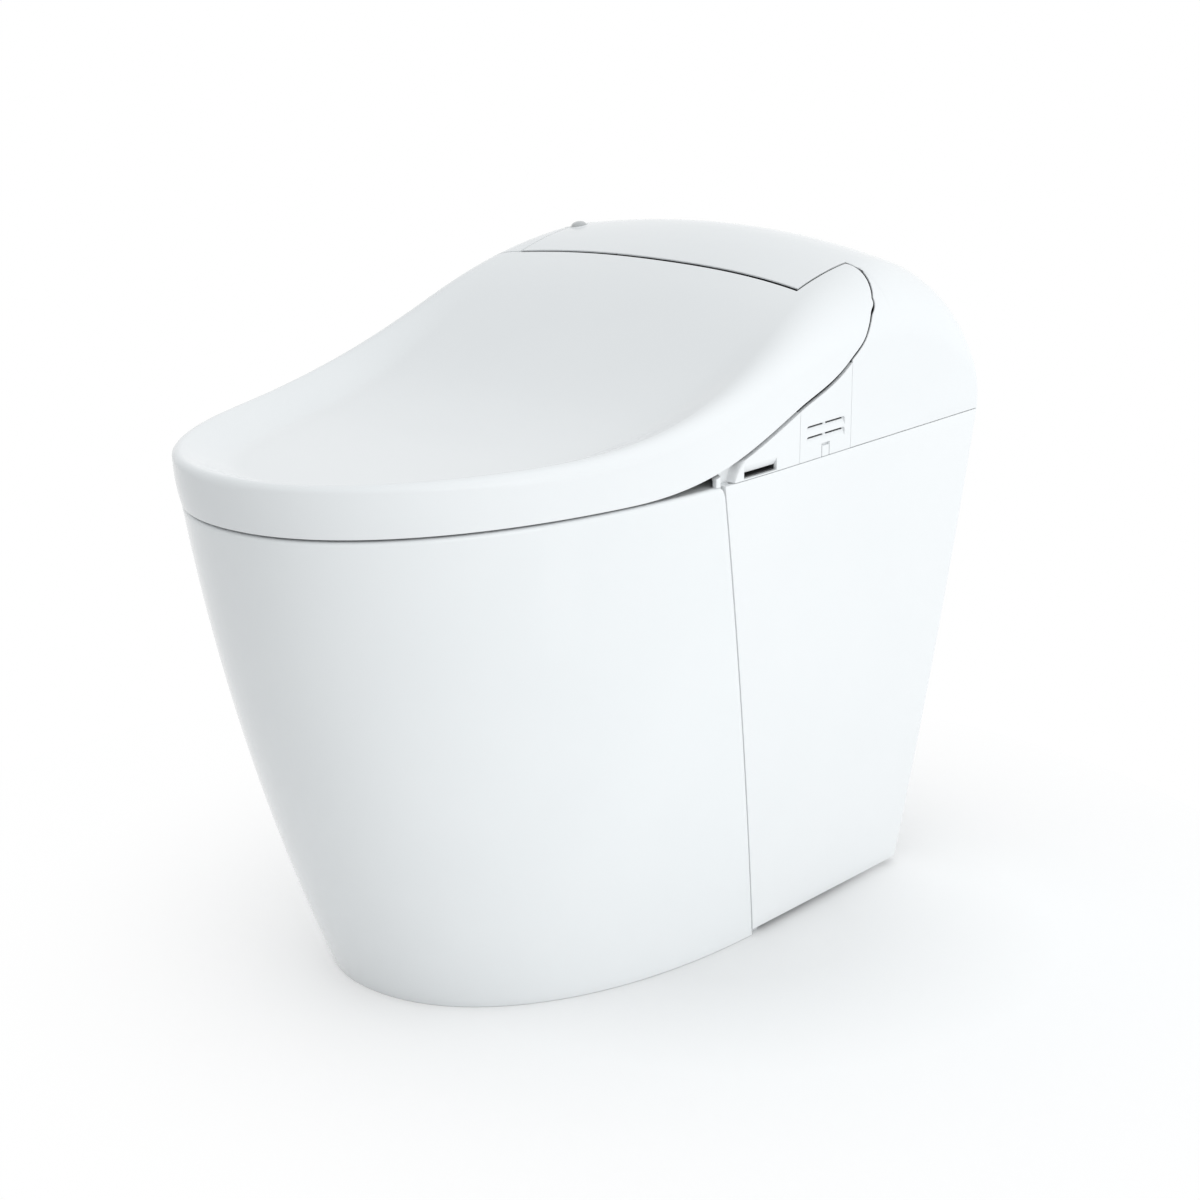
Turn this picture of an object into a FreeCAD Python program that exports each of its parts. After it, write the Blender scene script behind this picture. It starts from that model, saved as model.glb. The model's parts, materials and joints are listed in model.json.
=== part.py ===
import FreeCAD, Part
import math
import os
from FreeCAD import Vector

# One-piece smart toilet: skirted ceramic bowl, rear side panels, and a top unit with lid and seat.
# Frame: X is the width, the front looks toward -Y, Z is up, and the origin is on the floor under the centre.
# All sizes are in millimetres.

# Overall form
body_width = 390.0
body_depth = 692.0
rim_height = 406.0
lid_flare = 8.0
floor_half_width = 162.0
floor_front_inset = 145.5
floor_rear_inset = 55.7
nose_start_rim = 417.4
nose_start_floor = 440.5
side_bulge = 2.6
nose_bulge = 14.8
nose_power_x = 2.12
nose_power_y = 2.34
rear_corner_radius = 6.0

# Top of the lid and the rear cover
crest_front = 448.2
crest_rear = 556.0
ramp_start = 143.8
ramp_end_inset = 90.5
ramp_skew = 1.35
crown_drop = 28.1
crown_start_inset = 272.5
crown_end_inset = 40.5
rear_round_depth = 119.8
rear_round_drop = 74.0
edge_radius_front = 8.5
edge_radius_rear = 52.0
edge_growth_start = 232.9
edge_growth_end_inset = 63.9
dish_depth = 15.0
dish_run = 52.0
dish_fade_start = 290.0
dish_fade_end = 480.0

# Walls and gaps
cover_wall = 3.0
ceramic_wall = 10.0
panel_wall = 4.0
panel_floor_gap = 6.0
lid_gap = 2.6
seam_gap = 0.8
slip = 0.3
run_clearance = 0.05

# Side panel joint, a straight leaning line
joint_floor_inset = 268.1
joint_rim_inset = 355.8

# Lid outline and hinge
ear_width = 48.3
hinge_inset = 156.5
hinge_height = 520.0
ear_round_inner = 29.5
ear_taper_margin = 12.0
ear_round_outer = 8.0
ear_cheek = 14.0
panel_line_inset = 192.6
panel_line_bow = 10.4
panel_line_power = 2.9
flange_back = 2.0
flange_reach = 4.0
lid_edge_lift = 2.0
lid_shaft_radius = 5.0
liner_wall = 2.0
liner_drop = 2.2

# Seat
seat_bottom_lift = 2.8
seat_split_lift = 8.0
seat_top_lift = 17.8
seat_side_inset = 8.0
seat_edge_radius = 5.0
seat_arm_half_width = 143.0
seat_hole_half_width = 108.0
seat_hole_half_length = 138.0
seat_hole_front = 84.0
seat_hinge_inset = 262.0
seat_hinge_lift = 26.0
seat_lug_width = 26.0
seat_pin_radius = 5.0
bumper_height = 2.5
bumper_radius = 9.0

# Bowl
bowl_half_width = 128.0
bowl_half_length = 165.0
bowl_front = 63.0
bowl_depth = 221.0
bowl_wall = 11.0
deck_thickness = 36.0
deck_rear_inset = 60.0
trap_radius = 27.0
trap_wall = 9.0
drain_radius = 46.0
drain_inset = 196.0

# Top unit base
base_plate = 7.0
base_front_inset = 278.0
tower_width = 17.0
tower_depth = 32.0
bush_wall = 3.0
bush_flange = 1.2

# Wash wand
wand_radius = 8.0
wand_length = 190.0
wand_slope = 25.0
wand_front_inset = 250.0
wand_front_height = 415.0
wand_travel = 110.0
pinion_teeth = 12
tooth_module = 1.0
pinion_face = 5.0

# Right flank: air slot and filter cover
filter_front_inset = 262.0
filter_rear_inset = 193.0
louvre_height = 7.0
louvre_pitch = 8.6
louvre_low = 11.5
louvre_end_margin = 8.0
louvre_rib = 4.0
tab_width = 12.0
tab_height = 8.0
tab_groove = 0.8
slot_front_inset = 333.5
slot_length = 41.0
slot_low = 2.2
slot_height = 7.6
slot_frame = 2.5
cartridge_depth = 62.0
cartridge_height = 26.0

# Fans
dryer_fan_radius = 30.0
dryer_fan_height = 26.0
fan_shaft_radius = 2.5
fan_blades = 18
odour_fan_radius = 16.0
odour_fan_back = 8.0
odour_fan_height = 18.0
fan_tip_gap = 2.0
fan_wall = 2.0

# Fasteners and fittings
floor_bolt_radius = 4.0
floor_bolt_spacing = 264.0
floor_bolt_inset = 150.0
base_bolt_radius = 3.0
inlet_radius = 10.5
gland_radius = 8.0
lens_radius = 5.5

# Pads, clips and inner layout
lid_pad_x = 112.0
lid_pad_front = 125.0
lid_pad_rear_x = 140.0
lid_pad_rear = 230.0
shaft_reach = 46.0
seat_pad_x = 116.0
seat_pad_front = 122.0
seat_pad_rear_x = 146.0
seat_pad_rear = 280.0
seat_rear_inset = 286.0
panel_lip = 15.0
panel_top_gap = 0.6
panel_return_x = 150.0
web_x = 100.0
web_rear_inset = 78.0
channel_half = 22.0
channel_below = 14.0
pipe_bore = 9.0
pipe_x = 62.0
pipe_z = 330.0
cradle_start = 36.0
cradle_end = 150.0
pinion_place = 70.0
motor_x = 14.0
drive_radius = 17.0
drive_length = 52.0
housing_wall = 3.0
duct_x = -62.0
duct_half = 14.0
dryer_inset = 92.0
heater_inset = 116.0
heater_x = 26.0
valve_x = -160.0
tank_half = 92.0
tank_height = 150.0
pump_radius = 34.0
inlet_length = 30.0
inlet_x = -60.0
inlet_z = 260.0
board_x = -50.0
board_inset = 12.0
supply_x = 104.0
lens_x = -139.0
lens_inset = 127.5
lens_rise = 1.0
gland_x = 120.0
gland_z = 430.0

# Lid lower edge from the nose to the ear: distance behind the lid hinge, height above the rim
lid_edge = [(-299.5, 2.0), (-209.0, 8.6), (-107.0, 43.0), (-39.0, 72.0), (-15.0, 91.0)]
# Bowl sections: share of depth, of width and of length, and shift to the rear
bowl_sections = [(0.0, 1.0, 1.0, 0.0), (0.2, 0.97, 0.97, 1.0), (0.5, 0.8, 0.79, 14.0)]
bowl_sections += [(0.8, 0.5, 0.48, 52.0), (1.0, 0.27, 0.25, 74.0)]
# Trapway centre line: distance behind the drain, height above the floor
trap_path = [(-190.0, 214.0), (-80.0, 196.0), (-38.0, 262.0), (0.0, 236.0), (0.0, -5.0)]
# Base plate bolts: place across, distance ahead of the rear wall
base_bolts = [(-168.0, 175.0), (168.0, 175.0), (-90.0, 150.0), (90.0, 150.0)]

half_width = body_width / 2
front_y = -body_depth / 2
rear_y = body_depth / 2
ear_x = half_width - ear_width
hinge_y = rear_y - hinge_inset
panel_y = rear_y - panel_line_inset
join_y = hinge_y + ear_round_inner + 2.5
nose_y = front_y + nose_start_rim
seat_hinge_y = rear_y - seat_hinge_inset
seat_hinge_z = rim_height + seat_hinge_lift
base_top = rim_height + base_plate
base_front_y = rear_y - base_front_inset
seat_rear_y = rear_y - seat_rear_inset
web_rear_y = rear_y - web_rear_inset
drain_y = rear_y - drain_inset
wand_y = rear_y - wand_front_inset
lens_y = rear_y - lens_inset
parts = {}


# Small helpers
def keep(name, shape):
    solids = [s for s in shape.Solids if s.Volume > 1.0]
    parts[name] = solids[0] if len(solids) == 1 else Part.makeCompound(solids)


def box(x0, x1, y0, y1, z0, z1):
    return Part.makeBox(x1 - x0, y1 - y0, z1 - z0, Vector(x0, y0, z0))


def rod_x(radius, x0, x1, y, z):
    return Part.makeCylinder(radius, x1 - x0, Vector(x0, y, z), Vector(1, 0, 0))


def rod_y(radius, y0, y1, x, z):
    return Part.makeCylinder(radius, y1 - y0, Vector(x, y0, z), Vector(0, 1, 0))


def rod_z(radius, z0, z1, x, y):
    return Part.makeCylinder(radius, z1 - z0, Vector(x, y, z0), Vector(0, 0, 1))


def mirrored(shape):
    return shape.mirror(Vector(0, 0, 0), Vector(1, 0, 0))


def both_sides(shape):
    return Part.makeCompound(shape.Solids + mirrored(shape).Solids)


def joined(half):
    skin = [f for f in half.Faces if f.BoundBox.XLength > 0.01 or abs(f.CenterOfMass.x) > 0.01]
    skin += [mirrored(f) for f in skin]
    shell = Part.makeShell(skin)
    shell.sewShape()
    solid = Part.makeSolid(shell)
    if solid.Volume < 0:
        solid.reverse()
    return solid


def side_prism(points, x0, x1):
    outline = [Vector(x0, y, z) for y, z in points]
    face = Part.Face(Part.makePolygon(outline + [outline[0]]))
    return face.extrude(Vector(x1 - x0, 0, 0))


def plan_prism(points, z0, z1):
    outline = [Vector(x, y, z0) for x, y in points]
    face = Part.Face(Part.makePolygon(outline + [outline[0]]))
    return face.extrude(Vector(0, 0, z1 - z0))


def ease(t):
    t = min(max(t, 0.0), 1.0)
    return t * t * (3 - 2 * t)


def blend(low, high, bulge, t):
    return low + (high - low) * t + 4 * bulge * t * (1 - t)


# Plan outline shared by the bowl, the panels, the lid and the covers
def nose_points(half, start, tip, z, steps=24):
    points = []
    for i in range(steps + 1):
        angle = math.radians(90 - 180 * i / steps)
        side = math.sin(angle)
        x = math.copysign(abs(side) ** (2 / nose_power_x), side) * half
        y = start - (start - tip) * abs(math.cos(angle)) ** (2 / nose_power_y)
        points.append(Vector(x, y, z))
    return points


def nose_curve(points):
    curve = Part.BSplineCurve()
    back = Vector(0, 1, 0)
    curve.interpolate(Points=points, InitialTangent=-back, FinalTangent=back, Scale=True)
    return curve


def plan_wire(half, start, tip, rear, corner, z):
    points = nose_points(half, start, tip, z)
    shift = corner * (1 - math.sqrt(0.5))
    right = Vector(half, rear - corner, z)
    left = Vector(-half, rear - corner, z)
    right_rear = Vector(half - corner, rear, z)
    left_rear = Vector(corner - half, rear, z)
    left_arc = Part.Arc(left, Vector(shift - half, rear - shift, z), left_rear).toShape()
    right_arc = Part.Arc(right_rear, Vector(half - shift, rear - shift, z), right).toShape()
    edges = [Part.makeLine(right, points[0]), nose_curve(points).toShape()]
    edges += [Part.makeLine(points[-1], left), left_arc, Part.makeLine(left_rear, right_rear), right_arc]
    return Part.Wire(edges)


def lower_form(inset, low=0.0, high=rim_height):
    wires = []
    for i in range(7):
        z = low + (high - low) * i / 6
        t = z / rim_height
        half = blend(floor_half_width, half_width, side_bulge, t) - inset
        tip = blend(front_y + floor_front_inset, front_y + lid_flare, -nose_bulge, t) + inset
        start = blend(front_y + nose_start_floor, nose_y, 0, t)
        rear = blend(rear_y - floor_rear_inset, rear_y, 0, t) - inset
        wires.append(plan_wire(half, start, tip, rear, rear_corner_radius, z))
    return Part.makeLoft(wires, True, False)


# Height of the closed top along its length, then across its width
def top_profile(y):
    start = front_y + ramp_start
    t = min(max((y - start) / (rear_y - ramp_end_inset - start), 0), 1) ** ramp_skew
    z = crest_front + (crest_rear - crest_front) * (1 - math.cos(math.pi * t)) / 2
    e = min(max((y - rear_y + rear_round_depth) / rear_round_depth, 0), 1)
    return z - rear_round_drop * (1 - math.sqrt(1 - e * e))


def rim_distance(x, y):
    along = max((nose_y - y) / (nose_y - front_y), 0)
    across = abs(x) / half_width
    power = (nose_power_x + nose_power_y) / 2
    level = (along ** power + across ** power) ** (1 / power)
    if level == 0:
        return half_width
    slope_y = (along / level) ** (power - 1) / (nose_y - front_y)
    slope_x = (across / level) ** (power - 1) / half_width
    return (1 - level) / math.hypot(slope_x, slope_y)


def crown(x, y):
    start = rear_y - crown_start_inset
    t = ease((y - start) / (rear_y - crown_end_inset - start))
    return crown_drop * t * (x / half_width) ** 2


def top_height(x, y):
    fade = 1 - ease((y - front_y - dish_fade_start) / (dish_fade_end - dish_fade_start))
    return top_profile(y) - crown(x, y) - dish_depth * fade * ease(rim_distance(x, y) / dish_run)


def edge_radius(y):
    start = front_y + edge_growth_start
    t = ease((y - start) / (rear_y - edge_growth_end_inset - start))
    return edge_radius_front + (edge_radius_rear - edge_radius_front) * t


def surface_block(rows):
    surface = Part.BSplineSurface()
    surface.interpolate(rows)
    return surface.toShape().extrude(Vector(0, 0, -rim_height))


# Everything under the closed top ahead of the rear round, lowered by drop
def top_block(drop):
    count = 36
    first = front_y - 20.0
    wide = half_width + 10.0
    rows = []
    for i in range(count + 1):
        y = first + (join_y + 12.0 - first) * i / count
        spread = [wide * k / 14 for k in range(-14, 15)]
        rows.append([Vector(x, y, top_height(x, y) - drop) for x in spread])
    return surface_block(rows)


def upper_wire(z, inset):
    rise = min(max((z - rim_height) / (crest_front - rim_height), 0), 1)
    tip = front_y + lid_flare * (1 - rise) ** 2 + inset
    points = nose_points(half_width - inset, nose_y, tip, z)
    curve = nose_curve(points)
    stops = [curve.parameter(points[i]) for i in (0, 3, 12, 21, 24)]
    edges = []
    for a, b in zip(stops, stops[1:]):
        piece = curve.copy()
        piece.segment(a, b)
        edges.append(piece.toShape())
    right = Vector(half_width - inset, join_y + 20.0, z)
    left = Vector(inset - half_width, join_y + 20.0, z)
    edges += [Part.makeLine(points[-1], left), Part.makeLine(left, right)]
    return Part.Wire([Part.makeLine(right, points[0])] + edges)


def upper_wall(inset):
    levels = [rim_height - 20.0, rim_height, rim_height + 14.0, rim_height + 28.0, crest_front]
    levels += [crest_front + 22.0, crest_front + 70.0, crest_rear + 30.0]
    return Part.makeLoft([upper_wire(z, inset) for z in levels], True, False)


# Right half of the lid zone with its crest rounded, the radius growing to the rear
def front_half(inset, drop, over=0.0):
    limit = box(-over, half_width, front_y, join_y + over, rim_height - 12.0 - over, crest_rear)
    sharp = upper_wall(inset).common(top_block(drop)).common(limit).Solids[0]
    sheet = FreeCAD.newDocument("crest")
    source = sheet.addObject("Part::Feature", "sharp")
    source.Shape = sharp
    rounded = sheet.addObject("Part::Fillet", "rounded")
    rounded.Base = source
    crest = []
    for number, edge in enumerate(sharp.Edges, 1):
        middle = edge.valueAt((edge.FirstParameter + edge.LastParameter) / 2)
        gap = half_width - inset - abs(middle.x) if middle.y > nose_y else rim_distance(middle.x, middle.y)
        lies_high = edge.BoundBox.ZMin > rim_height + 20
        if lies_high and gap < inset + 3.0 and edge.BoundBox.YMin < join_y + over - 1.0:
            ends = [max(edge_radius(v.Point.y) - inset, 2.0) for v in edge.Vertexes]
            crest.append((number, ends[0], ends[-1]))
    rounded.Edges = crest
    sheet.recompute()
    shape = rounded.Shape.copy()
    FreeCAD.closeDocument(sheet.Name)
    return shape


def rear_form(inset):
    half = half_width - inset
    arc_start = rear_y - inset - rear_round_depth
    first = panel_y - panel_line_bow - 8.0
    lengths = [first + (arc_start - first) * i / 6 for i in range(6)]
    lengths += [arc_start + rear_round_depth * math.sin(math.radians(a)) for a in range(0, 79, 6)]
    rows = []
    for y in lengths:
        row = []
        for i in range(37):
            x = half * math.sin(math.radians(5 * i - 90))
            radius = max(edge_radius(y) - inset, 2.0)
            into = max(radius - half + abs(x), 0)
            edge_drop = radius - math.sqrt(max(radius ** 2 - into ** 2, 0))
            z = top_profile(y + inset) - crown(x, y) - edge_drop - inset
            row.append(Vector(x, y, z))
        rows.append(row)
    steps = [(last, last - before) for before, last in zip(rows[-2], rows[-1])]
    for k in (1, 2):
        rows.append([point + step * k for point, step in steps])
    limit = box(-body_width, body_width, 0.0, rear_y - inset, rim_height - 12.0, crest_rear + 30.0)
    return surface_block(rows).common(limit).Solids[0]


# Zone that the lid fills, right half, widened by gap for the pieces that stay clear of it
def lid_side_zone(gap):
    down = 0.9 * gap
    back = 0.42 * gap
    places = [Vector(ear_x - gap, hinge_y + y + back, rim_height + z - down) for y, z in lid_edge]
    curve = Part.BSplineCurve()
    level = Vector(0, 1, 0)
    steep = Vector(0, 0.62, 0.78)
    curve.interpolate(Points=places, InitialTangent=level, FinalTangent=steep, Scale=True)
    x = ear_x - gap
    ear_low = Vector(x, hinge_y + 0.2 * ear_round_outer, hinge_height - ear_round_outer - gap)
    corners = [places[-1], ear_low, Vector(x, hinge_y, hinge_height), Vector(x, hinge_y, 2 * crest_rear)]
    corners += [Vector(x, 2 * front_y, 2 * crest_rear), Vector(x, 2 * front_y, places[0].z), places[0]]
    lines = [Part.makeLine(a, b) for a, b in zip(corners, corners[1:])]
    face = Part.Face(Part.Wire([curve.toShape()] + lines))
    side = face.extrude(Vector(body_width, 0, 0))
    taper = ear_width - ear_taper_margin
    centre = Vector(ear_x, hinge_y, hinge_height)
    ear = Part.makeCone(ear_round_inner + gap, ear_round_outer + gap, taper, centre, Vector(1, 0, 0))
    ear = ear.fuse(rod_x(ear_round_outer + gap, ear_x + taper, body_width, hinge_y, hinge_height))
    if gap > 0:
        ear = ear.fuse(rod_x(ear_round_inner + gap, ear_x - gap, ear_x, hinge_y, hinge_height))
    return side.fuse(ear)


def panel_line(x, gap):
    return panel_y + gap - panel_line_bow * (abs(x) / ear_x) ** panel_line_power


def panel_curve(gap, z):
    curve = Part.BSplineCurve()
    spread = [ear_x * i / 8 for i in range(9)]
    curve.interpolate([Vector(x, panel_line(x, gap), z) for x in spread])
    return curve.toShape()


def behind_panel_line(front_gap, rear_gap, z0, z1):
    front = panel_curve(front_gap, z0)
    rear = panel_curve(rear_gap, z0)
    inner = Part.makeLine(rear.Vertexes[0].Point, front.Vertexes[0].Point)
    outer = Part.makeLine(front.Vertexes[-1].Point, rear.Vertexes[-1].Point)
    face = Part.Face(Part.Wire(Part.__sortEdges__([front, outer, rear, inner])))
    return face.extrude(Vector(0, 0, z1 - z0))


def lid_zone(gap):
    low = rim_height + lid_edge_lift - 0.9 * gap
    middle = behind_panel_line(2 * front_y, gap, low, 2 * crest_rear)
    return middle.fuse(lid_side_zone(gap))


def make_lid():
    cheek = box(ear_x, ear_x + ear_cheek, hinge_y - 48.0, join_y, rim_height, 2 * crest_rear)
    flange_low = hinge_height - flange_reach
    flange = behind_panel_line(-cover_wall - flange_back, -flange_back, flange_low, 2 * crest_rear)
    hollow = front_half(cover_wall, cover_wall, 5.0).cut(cheek).cut(flange)
    shell = front_half(0.0, 0.0).common(lid_zone(0.0)).cut(hollow)
    bore = rod_x(lid_shaft_radius, ear_x - 5.0, ear_x + ear_cheek - 2.0, hinge_y, hinge_height)
    keep("lid_shell", joined(shell.cut(bore)))

    inset = cover_wall + slip
    ahead = box(-5.0, half_width, front_y, hinge_y - 52.0, rim_height + 5.0, crest_rear)
    under = top_block(cover_wall + liner_drop + liner_wall)
    liner = front_half(inset, cover_wall + liner_drop).common(ahead).cut(under)
    keep("lid_liner", joined(liner))

    seat_top = rim_height + seat_top_lift
    pads = []
    for x, y in ((lid_pad_x, front_y + lid_pad_front), (lid_pad_rear_x, front_y + lid_pad_rear)):
        pad = rod_z(bumper_radius - 2.0, seat_top + 0.4, crest_front, x, y).common(under)
        pads += [pad, mirrored(pad)]
    keep("lid_bumpers", Part.makeCompound(pads))

    shaft_end = ear_x + ear_cheek - 2.0
    shaft = rod_x(lid_shaft_radius, ear_x - shaft_reach, shaft_end, hinge_y, hinge_height)
    keep("lid_shafts", both_sides(shaft))


# Seat
def seat_outline():
    tip = front_y + lid_flare + seat_side_inset
    wide = half_width - seat_side_inset
    arm = seat_arm_half_width
    right = [(p.x, p.y) for p in nose_points(wide, nose_y, tip, 0.0)[4:13]]
    bend = [(arm, seat_rear_y - 40.0), (arm + 2.0, seat_rear_y - 70.0)]
    bend += [(arm + 12.0, seat_rear_y - 100.0), (arm + 24.0, seat_rear_y - 140.0)]
    half = bend + right
    left = [(-x, y) for x, y in reversed(half[:-1])]
    curve = Part.BSplineCurve()
    points = [Vector(x, y, 0) for x, y in half + left]
    back = Vector(0, 1, 0)
    curve.interpolate(Points=points, InitialTangent=-back, FinalTangent=back, Scale=True)
    corners = [points[-1], Vector(-arm, seat_rear_y, 0), Vector(arm, seat_rear_y, 0), points[0]]
    return Part.Wire([curve.toShape()] + [Part.makeLine(a, b) for a, b in zip(corners, corners[1:])])


def oval(half_x, half_y, centre_y, z):
    points = []
    for i in range(20):
        angle = 2 * math.pi * i / 20
        points.append(Vector(half_x * math.cos(angle), centre_y + half_y * math.sin(angle), z))
    curve = Part.BSplineCurve()
    curve.interpolate(Points=points, PeriodicFlag=True)
    return Part.Wire([curve.toShape()])


def make_seat():
    bottom = rim_height + seat_bottom_lift
    split = rim_height + seat_split_lift
    top = rim_height + seat_top_lift
    hole_y = front_y + seat_hole_front + seat_hole_half_length
    outline = Part.Face(seat_outline())
    hole = Part.Face(oval(seat_hole_half_width, seat_hole_half_length, hole_y, 0.0))
    ring = outline.cut(hole).Faces[0]
    lower = ring.extrude(Vector(0, 0, split - bottom))
    lower.translate(Vector(0, 0, bottom))
    upper = ring.extrude(Vector(0, 0, top - split))
    upper.translate(Vector(0, 0, split))
    half = upper.common(box(0.0, half_width, front_y, rear_y, split, top))
    rims = [e for e in half.Edges if e.BoundBox.ZMin > top - 0.1 and e.BoundBox.XMax > 1.0]
    upper = joined(half.makeFillet(seat_edge_radius, rims))

    outer_x = seat_arm_half_width
    inner_x = outer_x - seat_lug_width
    eye = seat_pin_radius + 5.0
    arm = [(seat_rear_y - 22.0, bottom), (seat_rear_y - 3.0, bottom)]
    arm += [(seat_hinge_y - 6.0, seat_hinge_z - 8.0), (seat_hinge_y, seat_hinge_z)]
    arm += [(seat_hinge_y - 7.0, seat_hinge_z + 7.1), (seat_rear_y - 22.0, top)]
    lug = side_prism(arm, inner_x, outer_x).fuse(rod_x(eye, inner_x, outer_x, seat_hinge_y, seat_hinge_z))
    lugs = both_sides(lug)
    pin_hole = rod_x(seat_pin_radius, -outer_x, outer_x, seat_hinge_y, seat_hinge_z)
    base = lower.fuse(lugs.Solids)
    keep("seat_base", base.cut(pin_hole))
    keep("seat_ring", upper.cut(lugs))

    tower_face = inner_x - seam_gap
    pin = rod_x(seat_pin_radius, tower_face - tower_width, outer_x - 2.0, seat_hinge_y, seat_hinge_z)
    keep("seat_pins", both_sides(pin))
    pads = []
    for x, y in ((seat_pad_x, front_y + seat_pad_front), (seat_pad_rear_x, front_y + seat_pad_rear)):
        pads.append(rod_z(bumper_radius, bottom - bumper_height, bottom, x, y))
    keep("seat_bumpers", both_sides(Part.makeCompound(pads)))
    tower = box(tower_face - tower_width, tower_face, seat_hinge_y - 11.0, seat_hinge_y + 11.0,
                base_top, seat_hinge_z + 11.0)
    tower = tower.cut(rod_x(seat_pin_radius + run_clearance, 0.0, half_width, seat_hinge_y, seat_hinge_z))
    keep("seat_hinge_blocks", both_sides(tower))


# Ceramic bowl with skirt, deck, bowl hollow and trapway
def ahead_of_joint(extra):
    floor = rear_y - joint_floor_inset + extra
    rim = rear_y - joint_rim_inset + extra
    slope = (rim - floor) / rim_height
    low = (floor - slope * 10.0, -10.0)
    high = (rim + slope * 10.0, rim_height + 10.0)
    outline = [(2 * front_y, -10.0), low, high, (2 * front_y, rim_height + 10.0)]
    return side_prism(outline, -body_width, body_width)


def bowl_solid(wall):
    wires = []
    centre = front_y + bowl_front + bowl_half_length
    for depth, width_share, length_share, back in bowl_sections:
        z = rim_height - bowl_depth * depth - wall * depth
        if depth == 0:
            z = rim_height + 2.0
        half_x = bowl_half_width * width_share + wall
        half_y = bowl_half_length * length_share + wall
        wires.append(oval(half_x, half_y, centre + back, z))
    return Part.makeLoft(wires, True, False)


def trap_run(radius):
    shape = None
    for a, b in zip(trap_path, trap_path[1:]):
        start = Vector(0, drain_y + a[0], a[1])
        end = Vector(0, drain_y + b[0], b[1])
        run = Part.makeCylinder(radius, (end - start).Length, start, end - start)
        shape = run if shape is None else shape.fuse(run)
        if b is not trap_path[-1]:
            shape = shape.fuse(Part.makeSphere(radius, end))
    return shape


def wand_frame(shape):
    # Shapes drawn along +Y from the wand tip are turned onto the leaning wand line
    shape.rotate(Vector(0, 0, 0), Vector(1, 0, 0), wand_slope)
    shape.translate(Vector(0, wand_y, wand_front_height))
    return shape


def wand_channel(half, below, length):
    return wand_frame(box(-half, half, -2 * wand_travel, length, -below, 60.0))


def make_ceramic():
    under_panel = panel_wall + slip
    deck_low = rim_height - deck_thickness
    deck_rear = rear_y - deck_rear_inset
    deck = box(-half_width, half_width, front_y, deck_rear, deck_low, rim_height)
    back = lower_form(under_panel)
    outer = lower_form(0.0).common(ahead_of_joint(0.0))
    outer = outer.fuse(back.common(ahead_of_joint(panel_lip)))
    outer = outer.fuse(back.common(deck))
    bowl = bowl_solid(bowl_wall)
    trap = trap_run(trap_radius + trap_wall)
    trap = trap.common(box(-half_width, half_width, front_y, rear_y, 0.0, rim_height))
    web = box(web_x, web_x + ceramic_wall, rear_y - joint_floor_inset, web_rear_y, 0.0, deck_low)
    hollow = lower_form(ceramic_wall).common(box(-half_width, half_width, front_y, rear_y, -5.0, deck_low))
    hollow = hollow.cut(bowl.fuse(trap)).cut(both_sides(web))
    ceramic = outer.fuse([trap] + both_sides(web).Solids).cut(hollow)
    ceramic = ceramic.cut(bowl_solid(0.0)).cut(trap_run(trap_radius))
    ceramic = ceramic.cut(wand_channel(channel_half, channel_below, 20.0))
    port = rod_y(pipe_bore, front_y + bowl_front + 2 * bowl_half_length - 60.0, web_rear_y, pipe_x, pipe_z)
    ceramic = ceramic.cut(port)
    for x, y in base_bolts:
        ceramic = ceramic.cut(rod_z(base_bolt_radius, rim_height - 12.0, rim_height + 1.0, x, rear_y - y))
    keep("ceramic_bowl", ceramic)


# Side panels behind the leaning joint
def make_side_panels():
    skin = lower_form(0.0).cut(lower_form(panel_wall))
    skin = skin.cut(ahead_of_joint(seam_gap))
    top = rim_height - panel_top_gap
    right = skin.common(box(panel_return_x, body_width, front_y, rear_y + 1.0, panel_floor_gap, top))
    keep("right_side_panel", right)
    keep("left_side_panel", mirrored(right))


# Base plate of the top unit and the covers around it
def make_top_base():
    inset = cover_wall + slip
    plate = upper_wall(inset).fuse(box(inset - half_width, half_width - inset, join_y, rear_y - inset,
                                       rim_height - 1.0, base_top + 1.0))
    plate = plate.common(box(-half_width, half_width, base_front_y, rear_y, rim_height, base_top))
    plate = plate.cut(wand_channel(channel_half, channel_below, 90.0))
    for x, y in base_bolts:
        plate = plate.cut(rod_z(base_bolt_radius, rim_height - 1.0, base_top + 1.0, x, rear_y - y))
    keep("top_base", plate)
    screws = []
    for x, y in base_bolts:
        shank = rod_z(base_bolt_radius, rim_height - 12.0, base_top, x, rear_y - y)
        screws.append(shank.fuse(rod_z(2 * base_bolt_radius, base_top, base_top + 3.5, x, rear_y - y)))
    keep("base_bolts", Part.makeCompound(screws))


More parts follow.
